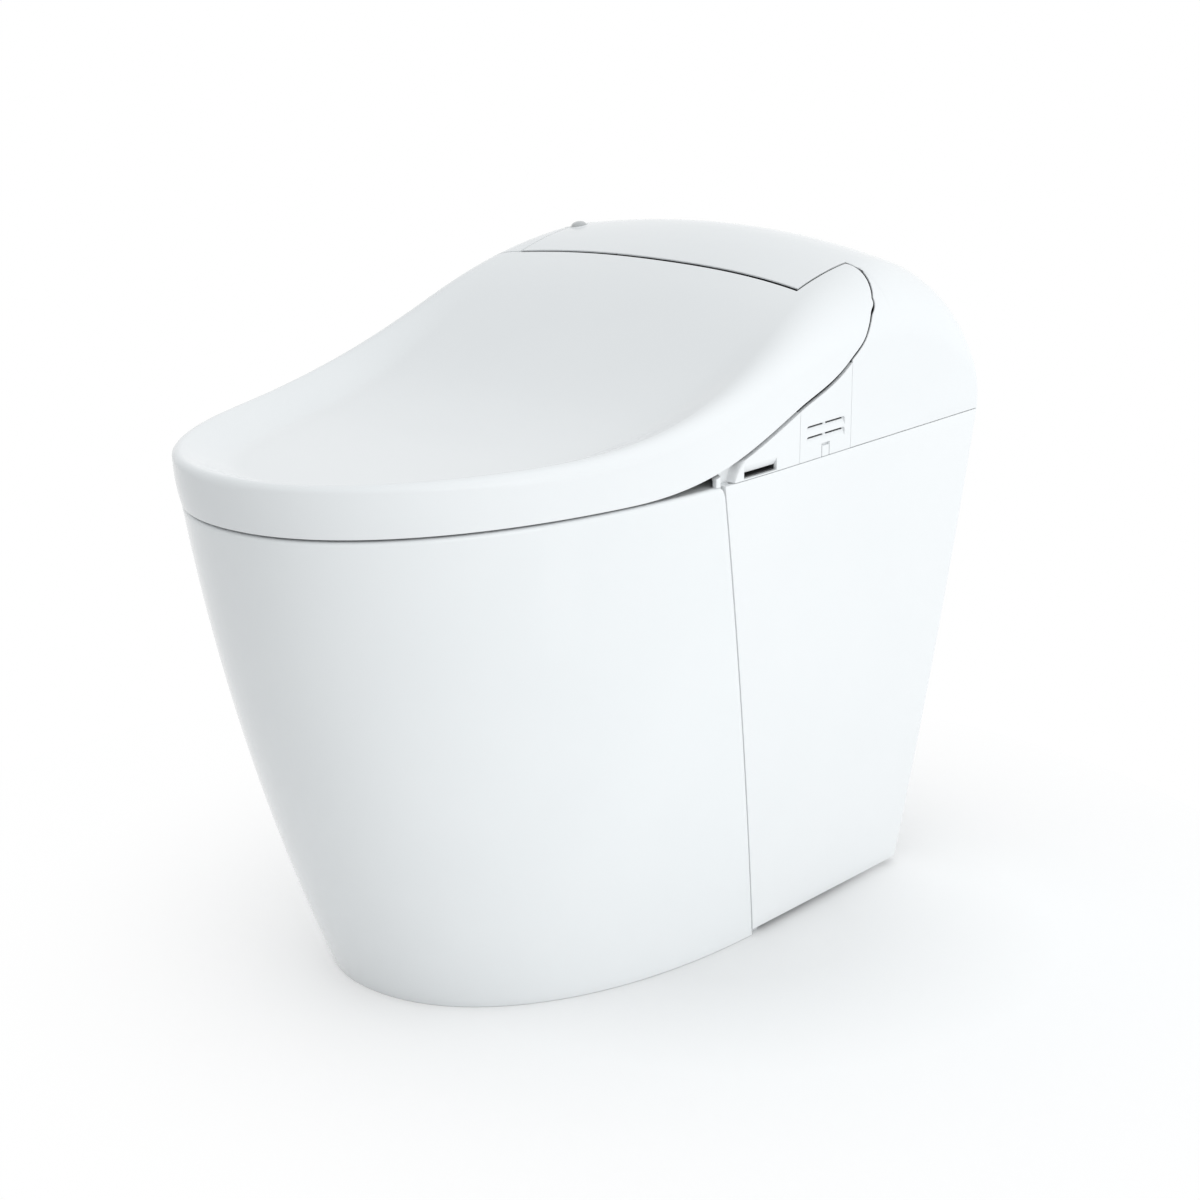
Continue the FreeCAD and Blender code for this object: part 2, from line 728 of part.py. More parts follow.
def make_rear_cover():
    shell = rear_form(0.0).cut(rear_form(cover_wall))
    zone = lid_zone(lid_gap)
    zone = zone.fuse(behind_panel_line(2 * front_y, lid_gap, rim_height - 20.0, 2 * crest_rear))
    shell = shell.cut(zone).cut(mirrored(zone))
    front = rear_y - filter_rear_inset + seam_gap
    low = rim_height + seam_gap
    limit = box(-body_width, body_width, front, rear_y, low, crest_rear + 10.0)
    middle = box(-ear_x, ear_x, front_y, rear_y, hinge_height - 40.0, crest_rear + 10.0)
    shell = shell.common(limit.fuse(middle))
    lens_z = top_profile(lens_y) - crown(lens_x, lens_y)
    shell = shell.cut(rod_z(lens_radius, lens_z - 30.0, crest_rear + 10.0, lens_x, lens_y))
    shell = shell.cut(rod_y(gland_radius, rear_y - 20.0, rear_y + 1.0, gland_x, gland_z))
    keep("rear_cover", shell)
    lens = rod_z(lens_radius, lens_z - 6.0, lens_z + lens_rise, lens_x, lens_y)
    dome = Part.makeSphere(4 * lens_radius, Vector(lens_x, lens_y, lens_z + lens_rise - 4 * lens_radius))
    keep("sensor_lens", lens.common(dome))
    gland = rod_y(gland_radius, rear_y - 14.0, rear_y, gland_x, gland_z)
    nut = rod_y(gland_radius + 4.0, rear_y - cover_wall - 6.0, rear_y - cover_wall, gland_x, gland_z)
    gland = gland.fuse(nut).cut(rod_y(gland_radius - 4.0, rear_y - 20.0, rear_y + 1.0, gland_x, gland_z))
    keep("power_gland", gland)


def flank_wall():
    low = rim_height + seam_gap
    wall = upper_wall(0.0).cut(upper_wall(cover_wall))
    wall = wall.common(box(0.0, body_width, front_y, rear_y - filter_rear_inset, low, crest_rear))
    return wall.cut(lid_side_zone(lid_gap))


def flank_cap():
    zone = lid_side_zone(lid_gap + cover_wall).cut(lid_side_zone(lid_gap))
    front = hinge_y + lid_edge[2][0] - 22.0
    keep_x = box(ear_x, half_width - cover_wall, front, hinge_y - 30.0, rim_height, hinge_height)
    return zone.common(keep_x)


def make_flanks():
    wall = flank_wall()
    cap = flank_cap()
    front = rear_y - filter_front_inset
    rear = rear_y - filter_rear_inset
    low = rim_height + seam_gap
    tip = hinge_y + lid_edge[1][0]
    ahead = box(0.0, body_width, tip, front - seam_gap, low, crest_rear)
    slot_y = rear_y - slot_front_inset
    slot = box(half_width - 20.0, body_width, slot_y, slot_y + slot_length, rim_height + slot_low,
               rim_height + slot_low + slot_height)
    right = wall.common(ahead).cut(slot)
    cap_right = cap.common(box(0.0, body_width, tip, rear, low, crest_rear))
    slide_room = box(half_width - cover_wall - slip, body_width, front - seam_gap, rear, low, crest_rear)
    keep("right_flank_cover", right.fuse(cap_right.cut(slide_room)))
    left = wall.common(box(0.0, body_width, tip, rear, low, crest_rear)).fuse(cap_right)
    keep("left_flank_cover", mirrored(left))

    inner = half_width - cover_wall
    slot_z = rim_height + slot_low
    grille = box(inner - 14.0, inner, slot_y - slot_frame, slot_y + slot_length + slot_frame,
                 rim_height, slot_z + slot_height + slot_frame)
    tunnel = box(inner - 12.0, inner + 1.0, slot_y, slot_y + slot_length, slot_z, slot_z + slot_height)
    keep("air_inlet_frame", grille.common(upper_wall(cover_wall)).cut(tunnel))

    cover = wall.common(box(0.0, body_width, front, rear, low, crest_rear))
    length = (rear - front - 2 * louvre_end_margin - louvre_rib) / 2
    for row in range(2):
        for part in range(2):
            y = front + louvre_end_margin + part * (length + louvre_rib)
            z = rim_height + louvre_low + row * louvre_pitch
            cover = cover.cut(box(inner - 5.0, body_width, y, y + length, z, z + louvre_height))
    middle = (front + rear) / 2
    edge = tab_width / 2 + tab_groove
    groove = box(half_width - 2 * tab_groove, body_width, middle - edge, middle + edge, low - 1.0,
                 low + tab_height + tab_groove)
    tab = box(0.0, body_width, middle - tab_width / 2, middle + tab_width / 2, rim_height, low + tab_height)
    keep("filter_cover", cover.cut(groove.cut(tab)))


# Filter cartridge behind the louvres, its case and the odour fan
def make_filter():
    front = rear_y - filter_front_inset + 15.0
    rear = rear_y - filter_rear_inset - 10.0
    outer = half_width - cover_wall - 3.0
    inner = outer - cartridge_depth
    low = base_top + fan_wall + slip
    high = low + cartridge_height
    body = box(inner, outer + 3.0, front, rear, low, high)
    cells = 6
    pitch = (rear - front - 4.0) / cells
    for i in range(cells):
        y = front + 2.0 + i * pitch
        for k in range(3):
            z = low + 2.0 + k * (cartridge_height - 2.0) / 3
            cell_high = z + (cartridge_height - 8.0) / 3
            body = body.cut(box(inner - 1.0, outer + 5.0, y + 1.0, y + pitch - 1.0, z, cell_high))
    keep("filter_cartridge", body.cut(parts["filter_cover"]))
    gap = fan_wall + slip
    case = box(inner - gap, outer - 2.0, front - gap, rear + gap, base_top, high + gap)
    room = box(inner - slip, outer + 10.0, front - slip, rear + slip, low - slip, high + slip)
    eye_y = (front + rear) / 2 + odour_fan_back
    eye_z = base_top + odour_fan_radius + fan_wall
    case = case.cut(room).cut(rod_x(odour_fan_radius / 2, 0.0, outer - 10.0, eye_y, eye_z))
    keep("filter_case", case)
    make_odour_fan(inner - gap, eye_y, eye_z)


def make_odour_fan(x_end, y, z):
    radius = odour_fan_radius
    x_start = x_end - odour_fan_height
    case = rod_x(radius, x_start, x_end, y, z).fuse(box(x_start, x_end, y - 10.0, y + 10.0, base_top, z))
    room = rod_x(radius - fan_wall, x_start + fan_wall, x_end - fan_wall, y, z)
    mouth = rod_x(radius / 2, x_end - 2 * fan_wall, x_end + 1.0, y, z)
    outlet = box(x_start + fan_wall, x_end - fan_wall, y, y + 2 * radius, z + radius - 9.0, z + radius - 3.0)
    case = case.cut(room).cut(mouth).cut(outlet)
    bore = rod_x(fan_shaft_radius + run_clearance, x_start - 1.0, x_start + fan_wall + 1.0, y, z)
    keep("odour_fan_case", case.cut(bore))
    tip = radius - fan_wall - fan_tip_gap
    disc = rod_x(tip, x_start + fan_wall + 1.0, x_start + fan_wall + 2.5, y, z)
    rotor = disc.fuse(rod_x(fan_shaft_radius, x_start + 0.5, x_end - fan_wall - 4.0, y, z))
    blade = box(x_start + fan_wall + 2.0, x_end - fan_wall - 1.0, -0.5, 0.5, tip * 0.6, tip - 0.3)
    for i in range(fan_blades):
        copy = blade.copy()
        copy.rotate(Vector(0, 0, 0), Vector(1, 0, 0), 360.0 * i / fan_blades)
        copy.translate(Vector(0, y, z))
        rotor = rotor.fuse(copy)
    keep("odour_fan_rotor", rotor)


# Lid hinge towers, bushes, drive and damper
def make_lid_hinge():
    outer_x = ear_x - lid_gap - bush_flange
    inner_x = outer_x - tower_width
    top = hinge_height + 10.5
    tower = box(inner_x, outer_x, hinge_y - tower_depth / 2, hinge_y + tower_depth / 2, base_top, top)
    bush_radius = lid_shaft_radius + bush_wall
    tower = tower.cut(rod_x(bush_radius, 0.0, half_width, hinge_y, hinge_height))
    window = box(inner_x - 1.0, outer_x + 1.0, hinge_y - 9.0, hinge_y + 9.0,
                 base_top + 12.0, hinge_height - 22.0)
    keep("lid_hinge_towers", both_sides(tower.cut(window)))
    bush = rod_x(bush_radius, inner_x, outer_x, hinge_y, hinge_height)
    bush = bush.fuse(rod_x(bush_radius + 2.0, outer_x, outer_x + bush_flange, hinge_y, hinge_height))
    bush = bush.cut(rod_x(lid_shaft_radius + run_clearance, 0.0, half_width, hinge_y, hinge_height))
    keep("lid_bushes", both_sides(bush))

    socket_radius = lid_shaft_radius + run_clearance
    socket = rod_x(socket_radius, ear_x - shaft_reach - 0.5, inner_x + 1.0, hinge_y, hinge_height)
    drive = rod_x(drive_radius, inner_x - drive_length, inner_x, hinge_y, hinge_height)
    motor_place = inner_x - drive_length + 16.0
    motor = rod_z(drive_radius - 4.0, hinge_height - 62.0, hinge_height, motor_place, hinge_y)
    keep("lid_drive", drive.fuse(motor).cut(socket))
    damper = rod_x(drive_radius - 3.0, inner_x - 40.0, inner_x, hinge_y, hinge_height).cut(socket)
    keep("lid_damper", mirrored(damper))


# Front housing between the seat hinge and the centre panel
def make_front_housing():
    top = top_profile(panel_y) - 2 * cover_wall - lid_gap
    foot = seat_hinge_y + 22.0
    path = [(foot, base_top), (foot, base_top + 24.0), (foot + 10.0, base_top + 42.0)]
    path += [(panel_y - 4.0, top - 20.0), (panel_y + lid_gap + 2.0, top)]
    back = [(y + housing_wall, z - 0.6 * housing_wall) for y, z in reversed(path)]
    back[-1] = (foot + housing_wall, base_top)
    half = ear_x - lid_gap - bush_flange - tower_width - 3 * seam_gap
    wall = side_prism(path + back, -half, half)
    mouth = wand_channel(channel_half - 2.0, channel_below, 60.0)
    duct = box(duct_x - duct_half, duct_x + duct_half, foot - 1.0, foot + 30.0,
               base_top + 3.0, base_top + 19.0)
    keep("front_housing", wall.cut(mouth).cut(duct))


# Wash wand with its rack, the cradle, the pinion and its motor
def make_wand():
    body = rod_y(wand_radius, 4.0, wand_length, 0.0, 0.0)
    pitch = math.pi * tooth_module
    rack_line = wand_radius + 1.6
    bar = box(-pinion_face / 2, pinion_face / 2, 14.0, wand_length, -rack_line + 1.0, -wand_radius + 2.0)
    body = body.fuse(bar)
    first = pinion_place - pinion_place // pitch * pitch
    for i in range(int(wand_length / pitch)):
        y = first + pitch * i
        if 16.0 < y < wand_length - 2.0:
            low = -rack_line - 0.9 * tooth_module
            tooth = [(y - 0.5, -rack_line + 1.1), (y - 0.3, low), (y + 0.3, low), (y + 0.5, -rack_line + 1.1)]
            body = body.fuse(side_prism(tooth, -pinion_face / 2, pinion_face / 2))
    keep("wash_wand", wand_frame(body))
    tip = rod_y(wand_radius + 0.5, 0.0, 4.0, 0.0, 0.0)
    tip = tip.fuse(rod_z(2.0, wand_radius - 2.0, wand_radius + 0.4, 0.0, 2.0))
    keep("nozzle_tip", wand_frame(tip))

    half = wand_radius + 5.0
    block = box(-half, half, cradle_start, cradle_end, -half, half)
    block = block.cut(rod_y(wand_radius + slip, 0.0, 2 * wand_length, 0.0, 0.0))
    groove = box(-pinion_face / 2 - 1.0, pinion_face / 2 + 1.0, 0.0, 2 * wand_length, -2 * half, 0.0)
    well = box(-half - 1.0, half + 1.0, pinion_place - 14.0, pinion_place + 14.0,
               -2 * half, -wand_radius + 1.0)
    block = wand_frame(block.cut(groove).cut(well))
    legs = []
    for start in (cradle_start + 2.0, cradle_end - 16.0):
        y = wand_y + start * math.cos(math.radians(wand_slope))
        z = wand_front_height + start * math.sin(math.radians(wand_slope))
        for x in (-half, half - 4.0):
            legs.append(box(x, x + 4.0, y, y + 12.0, base_top, z - 2.0))
    keep("wand_cradle", block.fuse(legs))

    centre = rack_line + tooth_module * pinion_teeth / 2
    radius = tooth_module * pinion_teeth / 2
    gear = rod_x(radius - 1.2 * tooth_module, -pinion_face / 2, pinion_face / 2, 0.0, 0.0)
    for i in range(pinion_teeth):
        flank = [(-0.5, radius - 1.5), (-0.3, radius + 0.8), (0.3, radius + 0.8), (0.5, radius - 1.5)]
        tooth = side_prism(flank, -pinion_face / 2, pinion_face / 2)
        tooth.rotate(Vector(0, 0, 0), Vector(1, 0, 0), 360.0 * (i + 0.5) / pinion_teeth)
        gear = gear.fuse(tooth)
    gear = gear.fuse(rod_x(1.5, -pinion_face / 2, motor_x + 6.0, 0.0, 0.0))
    gear.translate(Vector(0, pinion_place, -centre))
    keep("wand_pinion", wand_frame(gear))
    turn = math.radians(wand_slope)
    gear_y = wand_y + pinion_place * math.cos(turn) + centre * math.sin(turn)
    gear_z = wand_front_height + pinion_place * math.sin(turn) - centre * math.cos(turn)
    motor = rod_x(9.0, motor_x, motor_x + 26.0, gear_y, gear_z)
    motor = motor.fuse(box(motor_x, motor_x + 26.0, gear_y - 7.0, gear_y + 7.0, base_top, gear_z))
    keep("wand_motor", motor.cut(rod_x(1.5 + run_clearance, motor_x - 1.0, motor_x + 7.0, gear_y, gear_z)))
    print("pinion centre", round(gear_y, 3), round(gear_z, 3))


# Warm-air dryer: fan case, rotor and the duct to the front housing
def make_dryer():
    x = duct_x
    y = rear_y - dryer_inset
    radius = dryer_fan_radius
    top = base_top + dryer_fan_height
    case = rod_z(radius, base_top, top, x, y)
    duct_low = base_top + 3.0
    neck = box(x - duct_half, x + duct_half, y - radius - 8.0, y, base_top, duct_low + 17.5)
    case = case.fuse(neck)
    room = rod_z(radius - fan_wall, base_top + fan_wall, top - fan_wall, x, y)
    passage = box(x - duct_half + 1.5, x + duct_half - 1.5, y - radius - 20.0, y, duct_low, duct_low + 16.0)
    case = case.cut(room).cut(passage).cut(rod_z(radius / 2, top - 2 * fan_wall, top + 1.0, x, y))
    bore = rod_z(fan_shaft_radius + run_clearance, base_top - 1.0, base_top + 5.0, x, y)
    keep("dryer_fan_case", case.cut(bore))
    tip = radius - fan_wall - fan_tip_gap
    low = base_top + fan_wall + 1.0
    rotor = rod_z(tip, low, low + 1.5, x, y).fuse(rod_z(fan_shaft_radius, base_top + 0.4, top - 8.0, x, y))
    for i in range(fan_blades):
        blade = box(tip * 0.65, tip - 0.3, -0.5, 0.5, low + 1.0, top - fan_wall - 1.0)
        blade.rotate(Vector(0, 0, 0), Vector(0, 0, 1), 360.0 * i / fan_blades)
        blade.translate(Vector(x, y, 0))
        rotor = rotor.fuse(blade)
    keep("dryer_fan_rotor", rotor)
    front = seat_hinge_y + 22.0 + housing_wall
    duct = box(x - duct_half, x + duct_half, front, y - radius - 8.0, base_top, duct_low + 17.5)
    bore = box(x - duct_half + 1.5, x + duct_half - 1.5, front - 1.0, y, duct_low, duct_low + 16.0)
    keep("dryer_duct", duct.cut(bore))


def soft_box(x0, x1, y0, y1, z0, z1, radius):
    block = box(x0, x1, y0, y1, z0, z1)
    return block.makeFillet(radius, [e for e in block.Edges if e.BoundBox.ZLength > 1.0])


# Water path in the top unit and in the skirt
def make_water():
    y0 = rear_y - heater_inset
    heater = soft_box(heater_x, heater_x + 62.0, y0, y0 + 70.0, base_top, base_top + 55.0, 8.0)
    for k in range(2):
        heater = heater.fuse(rod_y(6.0, y0 - 12.0, y0 + 6.0, heater_x + 18.0 + 26.0 * k, base_top + 30.0))
    keep("water_heater", heater)
    valve = soft_box(valve_x, valve_x + 44.0, y0, y0 + 60.0, base_top, base_top + 30.0, 4.0)
    for k in range(2):
        coil = rod_z(10.0, base_top + 28.0, base_top + 56.0, valve_x + 22.0, y0 + 15.0 + 30.0 * k)
        valve = valve.fuse(coil)
    keep("valve_block", valve)

    deck_low = rim_height - deck_thickness
    front = drain_y + trap_radius + trap_wall + 9.0
    rear = web_rear_y - 2.0
    tank = soft_box(-tank_half, tank_half, front, rear, deck_low - tank_height, deck_low, 12.0)
    keep("flush_tank", tank)
    middle = (front + rear) / 2
    low = deck_low - tank_height
    pump = rod_z(pump_radius, low - 95.0, low, 0.0, middle)
    pump = pump.fuse(rod_y(9.0, middle, rear, 0.0, low - 70.0))
    keep("flush_pump", pump)
    pipe = rod_y(pipe_bore + 3.0, front_y + bowl_front + 2 * bowl_half_length - 60.0, front, pipe_x, pipe_z)
    pipe = pipe.cut(rod_y(pipe_bore, front_y, rear_y, pipe_x, pipe_z)).cut(bowl_solid(bowl_wall))
    keep("flush_pipe", pipe)
    fitting_y = rear + inlet_length
    thread = rod_y(inlet_radius, rear, fitting_y, inlet_x, inlet_z)
    corners = []
    for i in range(7):
        angle = math.radians(60 * i)
        corners.append(Vector(inlet_x + 15.0 * math.cos(angle), rear, inlet_z + 15.0 * math.sin(angle)))
    nut = Part.Face(Part.makePolygon(corners))
    thread = thread.fuse(nut.extrude(Vector(0, 8.0, 0)))
    keep("inlet_fitting", thread.cut(rod_y(inlet_radius - 3.0, rear, fitting_y + 1.0, inlet_x, inlet_z)))


def make_electrics():
    x = board_x
    y = rear_y - board_inset
    board = box(x, x + 96.0, y, y + 1.6, base_top, base_top + 62.0)
    chips = [(8.0, 10.0, 26.0, 20.0), (44.0, 14.0, 20.0, 14.0), (70.0, 34.0, 18.0, 16.0)]
    for i, (dx, dz, w, h) in enumerate(chips):
        board = board.fuse(box(x + dx, x + dx + w, y - 5.0 - 2 * i, y, base_top + dz, base_top + dz + h))
    keep("control_board", board)
    supply = soft_box(supply_x, supply_x + 46.0, rear_y - heater_inset, rear_y - heater_inset + 66.0,
                      base_top, base_top + 40.0, 3.0)
    keep("power_supply", supply)


# Floor fixings and drain
def make_floor_parts():
    horn = trap_radius + trap_wall
    sleeve = rod_z(horn + 6.0, 0.0, 40.0, 0.0, drain_y)
    sleeve = sleeve.fuse(rod_z(drain_radius + 14.0, 0.0, 5.0, 0.0, drain_y))
    keep("drain_connector", sleeve.cut(rod_z(horn, -1.0, 41.0, 0.0, drain_y)))
    x0 = web_x + ceramic_wall
    y = rear_y - floor_bolt_inset
    bolt_x = floor_bolt_spacing / 2
    bracket = box(x0, bolt_x + 14.0, y - 20.0, y + 20.0, 0.0, 4.0)
    bracket = bracket.fuse(box(x0, x0 + 4.0, y - 20.0, y + 20.0, 0.0, 45.0))
    bracket = bracket.cut(rod_z(floor_bolt_radius + slip, -1.0, 5.0, bolt_x, y))
    keep("floor_brackets", both_sides(bracket))


def main():
    os.makedirs("parts", exist_ok=True)
    for step in (make_ceramic, make_side_panels, make_top_base, make_rear_cover, make_flanks, make_filter,
                 make_lid_hinge, make_front_housing, make_seat, make_wand, make_dryer, make_water,
                 make_electrics, make_floor_parts, make_lid):
        step()
    for name, shape in parts.items():
        shape.exportStep("parts/" + name + ".step")
        size = shape.optimalBoundingBox(False, False)
        print(name, len(shape.Solids), shape.isValid(), round(shape.Volume / 1000.0, 1), size)


main()
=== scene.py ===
import json
import math
import bmesh
import bpy
import numpy as np
from mathutils import Matrix, Vector


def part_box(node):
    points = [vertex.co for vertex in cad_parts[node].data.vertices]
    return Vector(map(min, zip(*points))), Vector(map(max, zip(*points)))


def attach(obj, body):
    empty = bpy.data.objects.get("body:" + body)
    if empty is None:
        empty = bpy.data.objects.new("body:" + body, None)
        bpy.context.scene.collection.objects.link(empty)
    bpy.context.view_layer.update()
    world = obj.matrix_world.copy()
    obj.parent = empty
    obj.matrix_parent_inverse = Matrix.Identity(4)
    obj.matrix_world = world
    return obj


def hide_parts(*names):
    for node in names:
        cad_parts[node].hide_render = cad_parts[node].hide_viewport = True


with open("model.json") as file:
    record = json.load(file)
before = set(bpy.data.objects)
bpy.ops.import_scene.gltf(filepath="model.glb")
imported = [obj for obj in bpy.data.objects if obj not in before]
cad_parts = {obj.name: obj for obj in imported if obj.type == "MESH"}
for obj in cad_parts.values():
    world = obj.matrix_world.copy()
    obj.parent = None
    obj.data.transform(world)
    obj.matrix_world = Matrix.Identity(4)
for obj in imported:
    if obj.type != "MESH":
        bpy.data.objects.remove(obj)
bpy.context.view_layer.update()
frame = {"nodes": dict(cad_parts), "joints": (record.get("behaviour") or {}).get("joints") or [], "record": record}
print("frame loaded with", len(frame["nodes"]), "nodes")

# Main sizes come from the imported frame, in metres
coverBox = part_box("rear_cover")
joints = {j["name"]: j for j in frame["joints"]}
halfWidth = coverBox[1].x
rearY = coverBox[1].y
frontY = -rearY
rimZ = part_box("ceramic_bowl")[1].z
hingeY, hingeZ = joints["lid_hinge"]["pos_m"][1:]
flipX = np.array([-1.0, 1.0, 1.0])  # turns right-hand points into left-hand ones
tiny = 0.000001                     # keeps divisions clear of zero

# The one outer form that skirt, lid and covers share
form = {
    "floorHalf": 0.162, "floorFront": 0.1455, "floorRear": 0.0557,  # skirt at the floor
    "noseRim": 0.4174, "noseFloor": 0.4405,                         # where the nose curve starts
    "sideBulge": 0.0026, "noseBulge": 0.0148,
    "powerX": 2.12, "powerY": 2.34,
    "lidFlare": 0.008, "cornerRound": 0.006,
    "crestFront": 0.4482, "crestRear": 0.556,                       # heights of the lid and the cover
    "rampStart": 0.1438, "rampEnd": 0.0905, "rampSkew": 1.35,
    "crownDrop": 0.0281, "crownStart": 0.2725, "crownEnd": 0.0405,
    "rearRound": 0.1198, "rearDrop": 0.074,
    "edgeFront": 0.0085, "edgeRear": 0.052, "edgeStart": 0.2329, "edgeEnd": 0.0639,
    "dishDepth": 0.015, "dishRun": 0.052, "dishFrom": 0.29, "dishTo": 0.48,
    "jointFloor": 0.2681, "jointRim": 0.3558,                       # leaning seam of the side panel
}
seams = {
    "lidGap": 0.0026, "leftGap": 0.0006, "panelGap": 0.0040, "thinSeam": 0.0005,
    "gapBack": 0.42, "gapDown": 0.9,                                # how a gap moves the lid's edge line
    "coverLift": 0.0001, "coverWall": 0.003,
    "earWidth": 0.0483, "earInner": 0.0295, "earOuter": 0.0055,
    "earTaper": 0.0363, "earPower": 2.2, "earBlend": 0.007,
    "panelLine": 0.1926, "panelBow": 0.0104, "panelPower": 2.9,
    "edgeBehind": (-0.2995, -0.209, -0.107, -0.039, -0.015),        # lid's lower edge, behind the hinge
    "edgeAbove": (0.002, 0.0110, 0.0445, 0.072, 0.091),             # and above the rim
    "edgeEndSlope": 1.26,
}
noseY = frontY + form["noseRim"]
earX = halfWidth - seams["earWidth"]
panelY = rearY - seams["panelLine"]
earY = panelY - seams["panelBow"]
coverBottom = rimZ + seams["coverLift"]


def spread(first, last, steps):
    return np.linspace(first, last, steps + 1)


def easeIn(t):
    t = np.clip(t, 0, 1)
    return t * t * (3 - 2 * t)


def bowed(low, high, bulge, t):
    return low + (high - low) * t + 4 * bulge * t * (1 - t)


def hermite(t, width, low, lowSlope, high, highSlope):
    # cubic from one height to the next, with the slope given at both ends
    start = (1 + 2 * t) * (1 - t) ** 2 * low + t * (1 - t) ** 2 * width * lowSlope
    end = t * t * (3 - 2 * t) * high + t * t * (t - 1) * width * highSlope
    return start + end


def skirtPlan(z):
    t = z / rimZ
    half = bowed(form["floorHalf"], halfWidth, form["sideBulge"], t)
    tip = bowed(frontY + form["floorFront"], frontY + form["lidFlare"], -form["noseBulge"], t)
    start = bowed(frontY + form["noseFloor"], noseY, 0, t)
    rear = bowed(rearY - form["floorRear"], rearY, 0, t)
    return half, start, tip, rear


def nosePoint(half, start, tip, angle):
    x = half * abs(math.sin(angle)) ** (2 / form["powerX"])
    y = start - (start - tip) * abs(math.cos(angle)) ** (2 / form["powerY"])
    return x, y


def noseAngle(start, tip, y):
    share = min(max((start - y) / (start - tip), 0.0), 1.0)
    return math.acos(min(share ** (form["powerY"] / 2), 1.0))


def jointLine(z):
    return rearY - form["jointFloor"] + (form["jointFloor"] - form["jointRim"]) * z / rimZ


def topProfile(y):
    y = np.asarray(y, float)
    start = frontY + form["rampStart"]
    t = np.clip((y - start) / (rearY - form["rampEnd"] - start), 0, 1) ** form["rampSkew"]
    z = form["crestFront"] + (form["crestRear"] - form["crestFront"]) * (1 - np.cos(np.pi * t)) / 2
    e = np.clip((y - rearY + form["rearRound"]) / form["rearRound"], 0, 1)
    return z - form["rearDrop"] * (1 - np.sqrt(1 - e * e))


def crown(x, y):
    start = rearY - form["crownStart"]
    t = easeIn((y - start) / (rearY - form["crownEnd"] - start))
    return form["crownDrop"] * t * (x / halfWidth) ** 2


def rimDistance(x, y):
    along = np.clip((noseY - y) / form["noseRim"], 0, None)
    across = np.abs(x) / halfWidth
    power = (form["powerX"] + form["powerY"]) / 2
    level = np.maximum((along ** power + across ** power) ** (1 / power), tiny)
    slopeY = (along / level) ** (power - 1) / form["noseRim"]
    slopeX = (across / level) ** (power - 1) / halfWidth
    return (1 - level) / np.maximum(np.hypot(slopeX, slopeY), tiny)


def topHeight(x, y):
    fade = 1 - easeIn((y - frontY - form["dishFrom"]) / (form["dishTo"] - form["dishFrom"]))
    dish = form["dishDepth"] * fade * easeIn(rimDistance(x, y) / form["dishRun"])
    return topProfile(y) - crown(x, y) - dish


def edgeRadius(y):
    start = frontY + form["edgeStart"]
    t = easeIn((y - start) / (rearY - form["edgeEnd"] - start))
    return form["edgeFront"] + (form["edgeRear"] - form["edgeFront"]) * t


def roundedTop(x, y, half=halfWidth):
    radius = edgeRadius(y)
    into = np.maximum(radius - half + np.abs(x), 0)
    drop = radius - np.sqrt(np.maximum(radius ** 2 - into ** 2, 0))
    return topProfile(y) - crown(x, y) - drop


def upperFlare(z):
    rise = np.clip((z - rimZ) / (form["crestFront"] - rimZ), 0, 1)
    return form["lidFlare"] * (1 - rise) ** 2


def lidEdgeZ(y):
    # smooth curve through the edge points, level at the nose and steep at the ear
    py = hingeY + np.array(seams["edgeBehind"])
    pz = rimZ + np.array(seams["edgeAbove"])
    slopes = np.gradient(pz, py)
    slopes[0] = 0.0
    slopes[-1] = seams["edgeEndSlope"]
    y = np.asarray(y, float)
    k = np.clip(np.searchsorted(py, y) - 1, 0, len(py) - 2)
    width = py[k + 1] - py[k]
    t = np.clip((y - py[k]) / width, 0, 1)
    earLow = hingeZ - seams["earOuter"]
    past = np.clip(y - py[-1], 0, None) * (earLow - pz[-1]) / (hingeY - py[-1])
    return hermite(t, width, pz[k], slopes[k], pz[k + 1], slopes[k + 1]) + past


def seamZ(y, gap):
    return lidEdgeZ(y - seams["gapBack"] * gap) - seams["gapDown"] * gap


def earRound(x):
    t = np.clip((np.abs(x) - earX) / seams["earTaper"], 0, 1)
    return seams["earInner"] + (seams["earOuter"] - seams["earInner"]) * t ** seams["earPower"]


def lidDepth(x, y, z, gap):
    # above zero inside the room that the lid takes up, widened by gap
    ahead = np.minimum(z - seamZ(y, gap), hingeY - y)
    ear = earRound(x) + gap - np.hypot(y - hingeY, z - hingeZ)
    blend = seams["earBlend"]  # rounds the corner where edge and ear meet
    near = np.clip(1 - np.abs(ahead - ear) / blend, 0, 1)
    return np.maximum(ahead, ear) + near * near * blend / 4


def panelFront(x):
    return panelY - seams["panelBow"] * (np.abs(x) / earX) ** seams["panelPower"]


# Mesh helpers
welds = {"shell": 0.00003, "cutter": 0.000002, "round": 0.000004}  # how near points are joined


def asPoints(x, y, z):
    # a row of points, where a single number counts for all of them
    return np.stack(np.broadcast_arrays(x, y, z), axis=1)


def resample(line, stops):
    line = np.asarray(line)
    steps = np.linalg.norm(np.diff(line, axis=0), axis=1)
    length = np.concatenate([[0.0], np.cumsum(steps)])
    at = np.asarray(stops) * length[-1]
    return np.stack([np.interp(at, length, line[:, k]) for k in range(3)], axis=1)


def lineLength(line):
    return float(np.sum(np.linalg.norm(np.diff(line, axis=0), axis=1)))


def endWhere(line, depth):
    # the line up to where depth first rises above zero
    past = np.nonzero(depth > 0)[0]
    if len(past) == 0:
        return line
    last = past[0]
    part = depth[last - 1] / (depth[last - 1] - depth[last])
    kept = line[:last + 1].copy()
    kept[last] = line[last - 1] + (line[last] - line[last - 1]) * part
    return kept


def mirrorX(patch):
    return np.asarray(patch)[::-1] * flipX


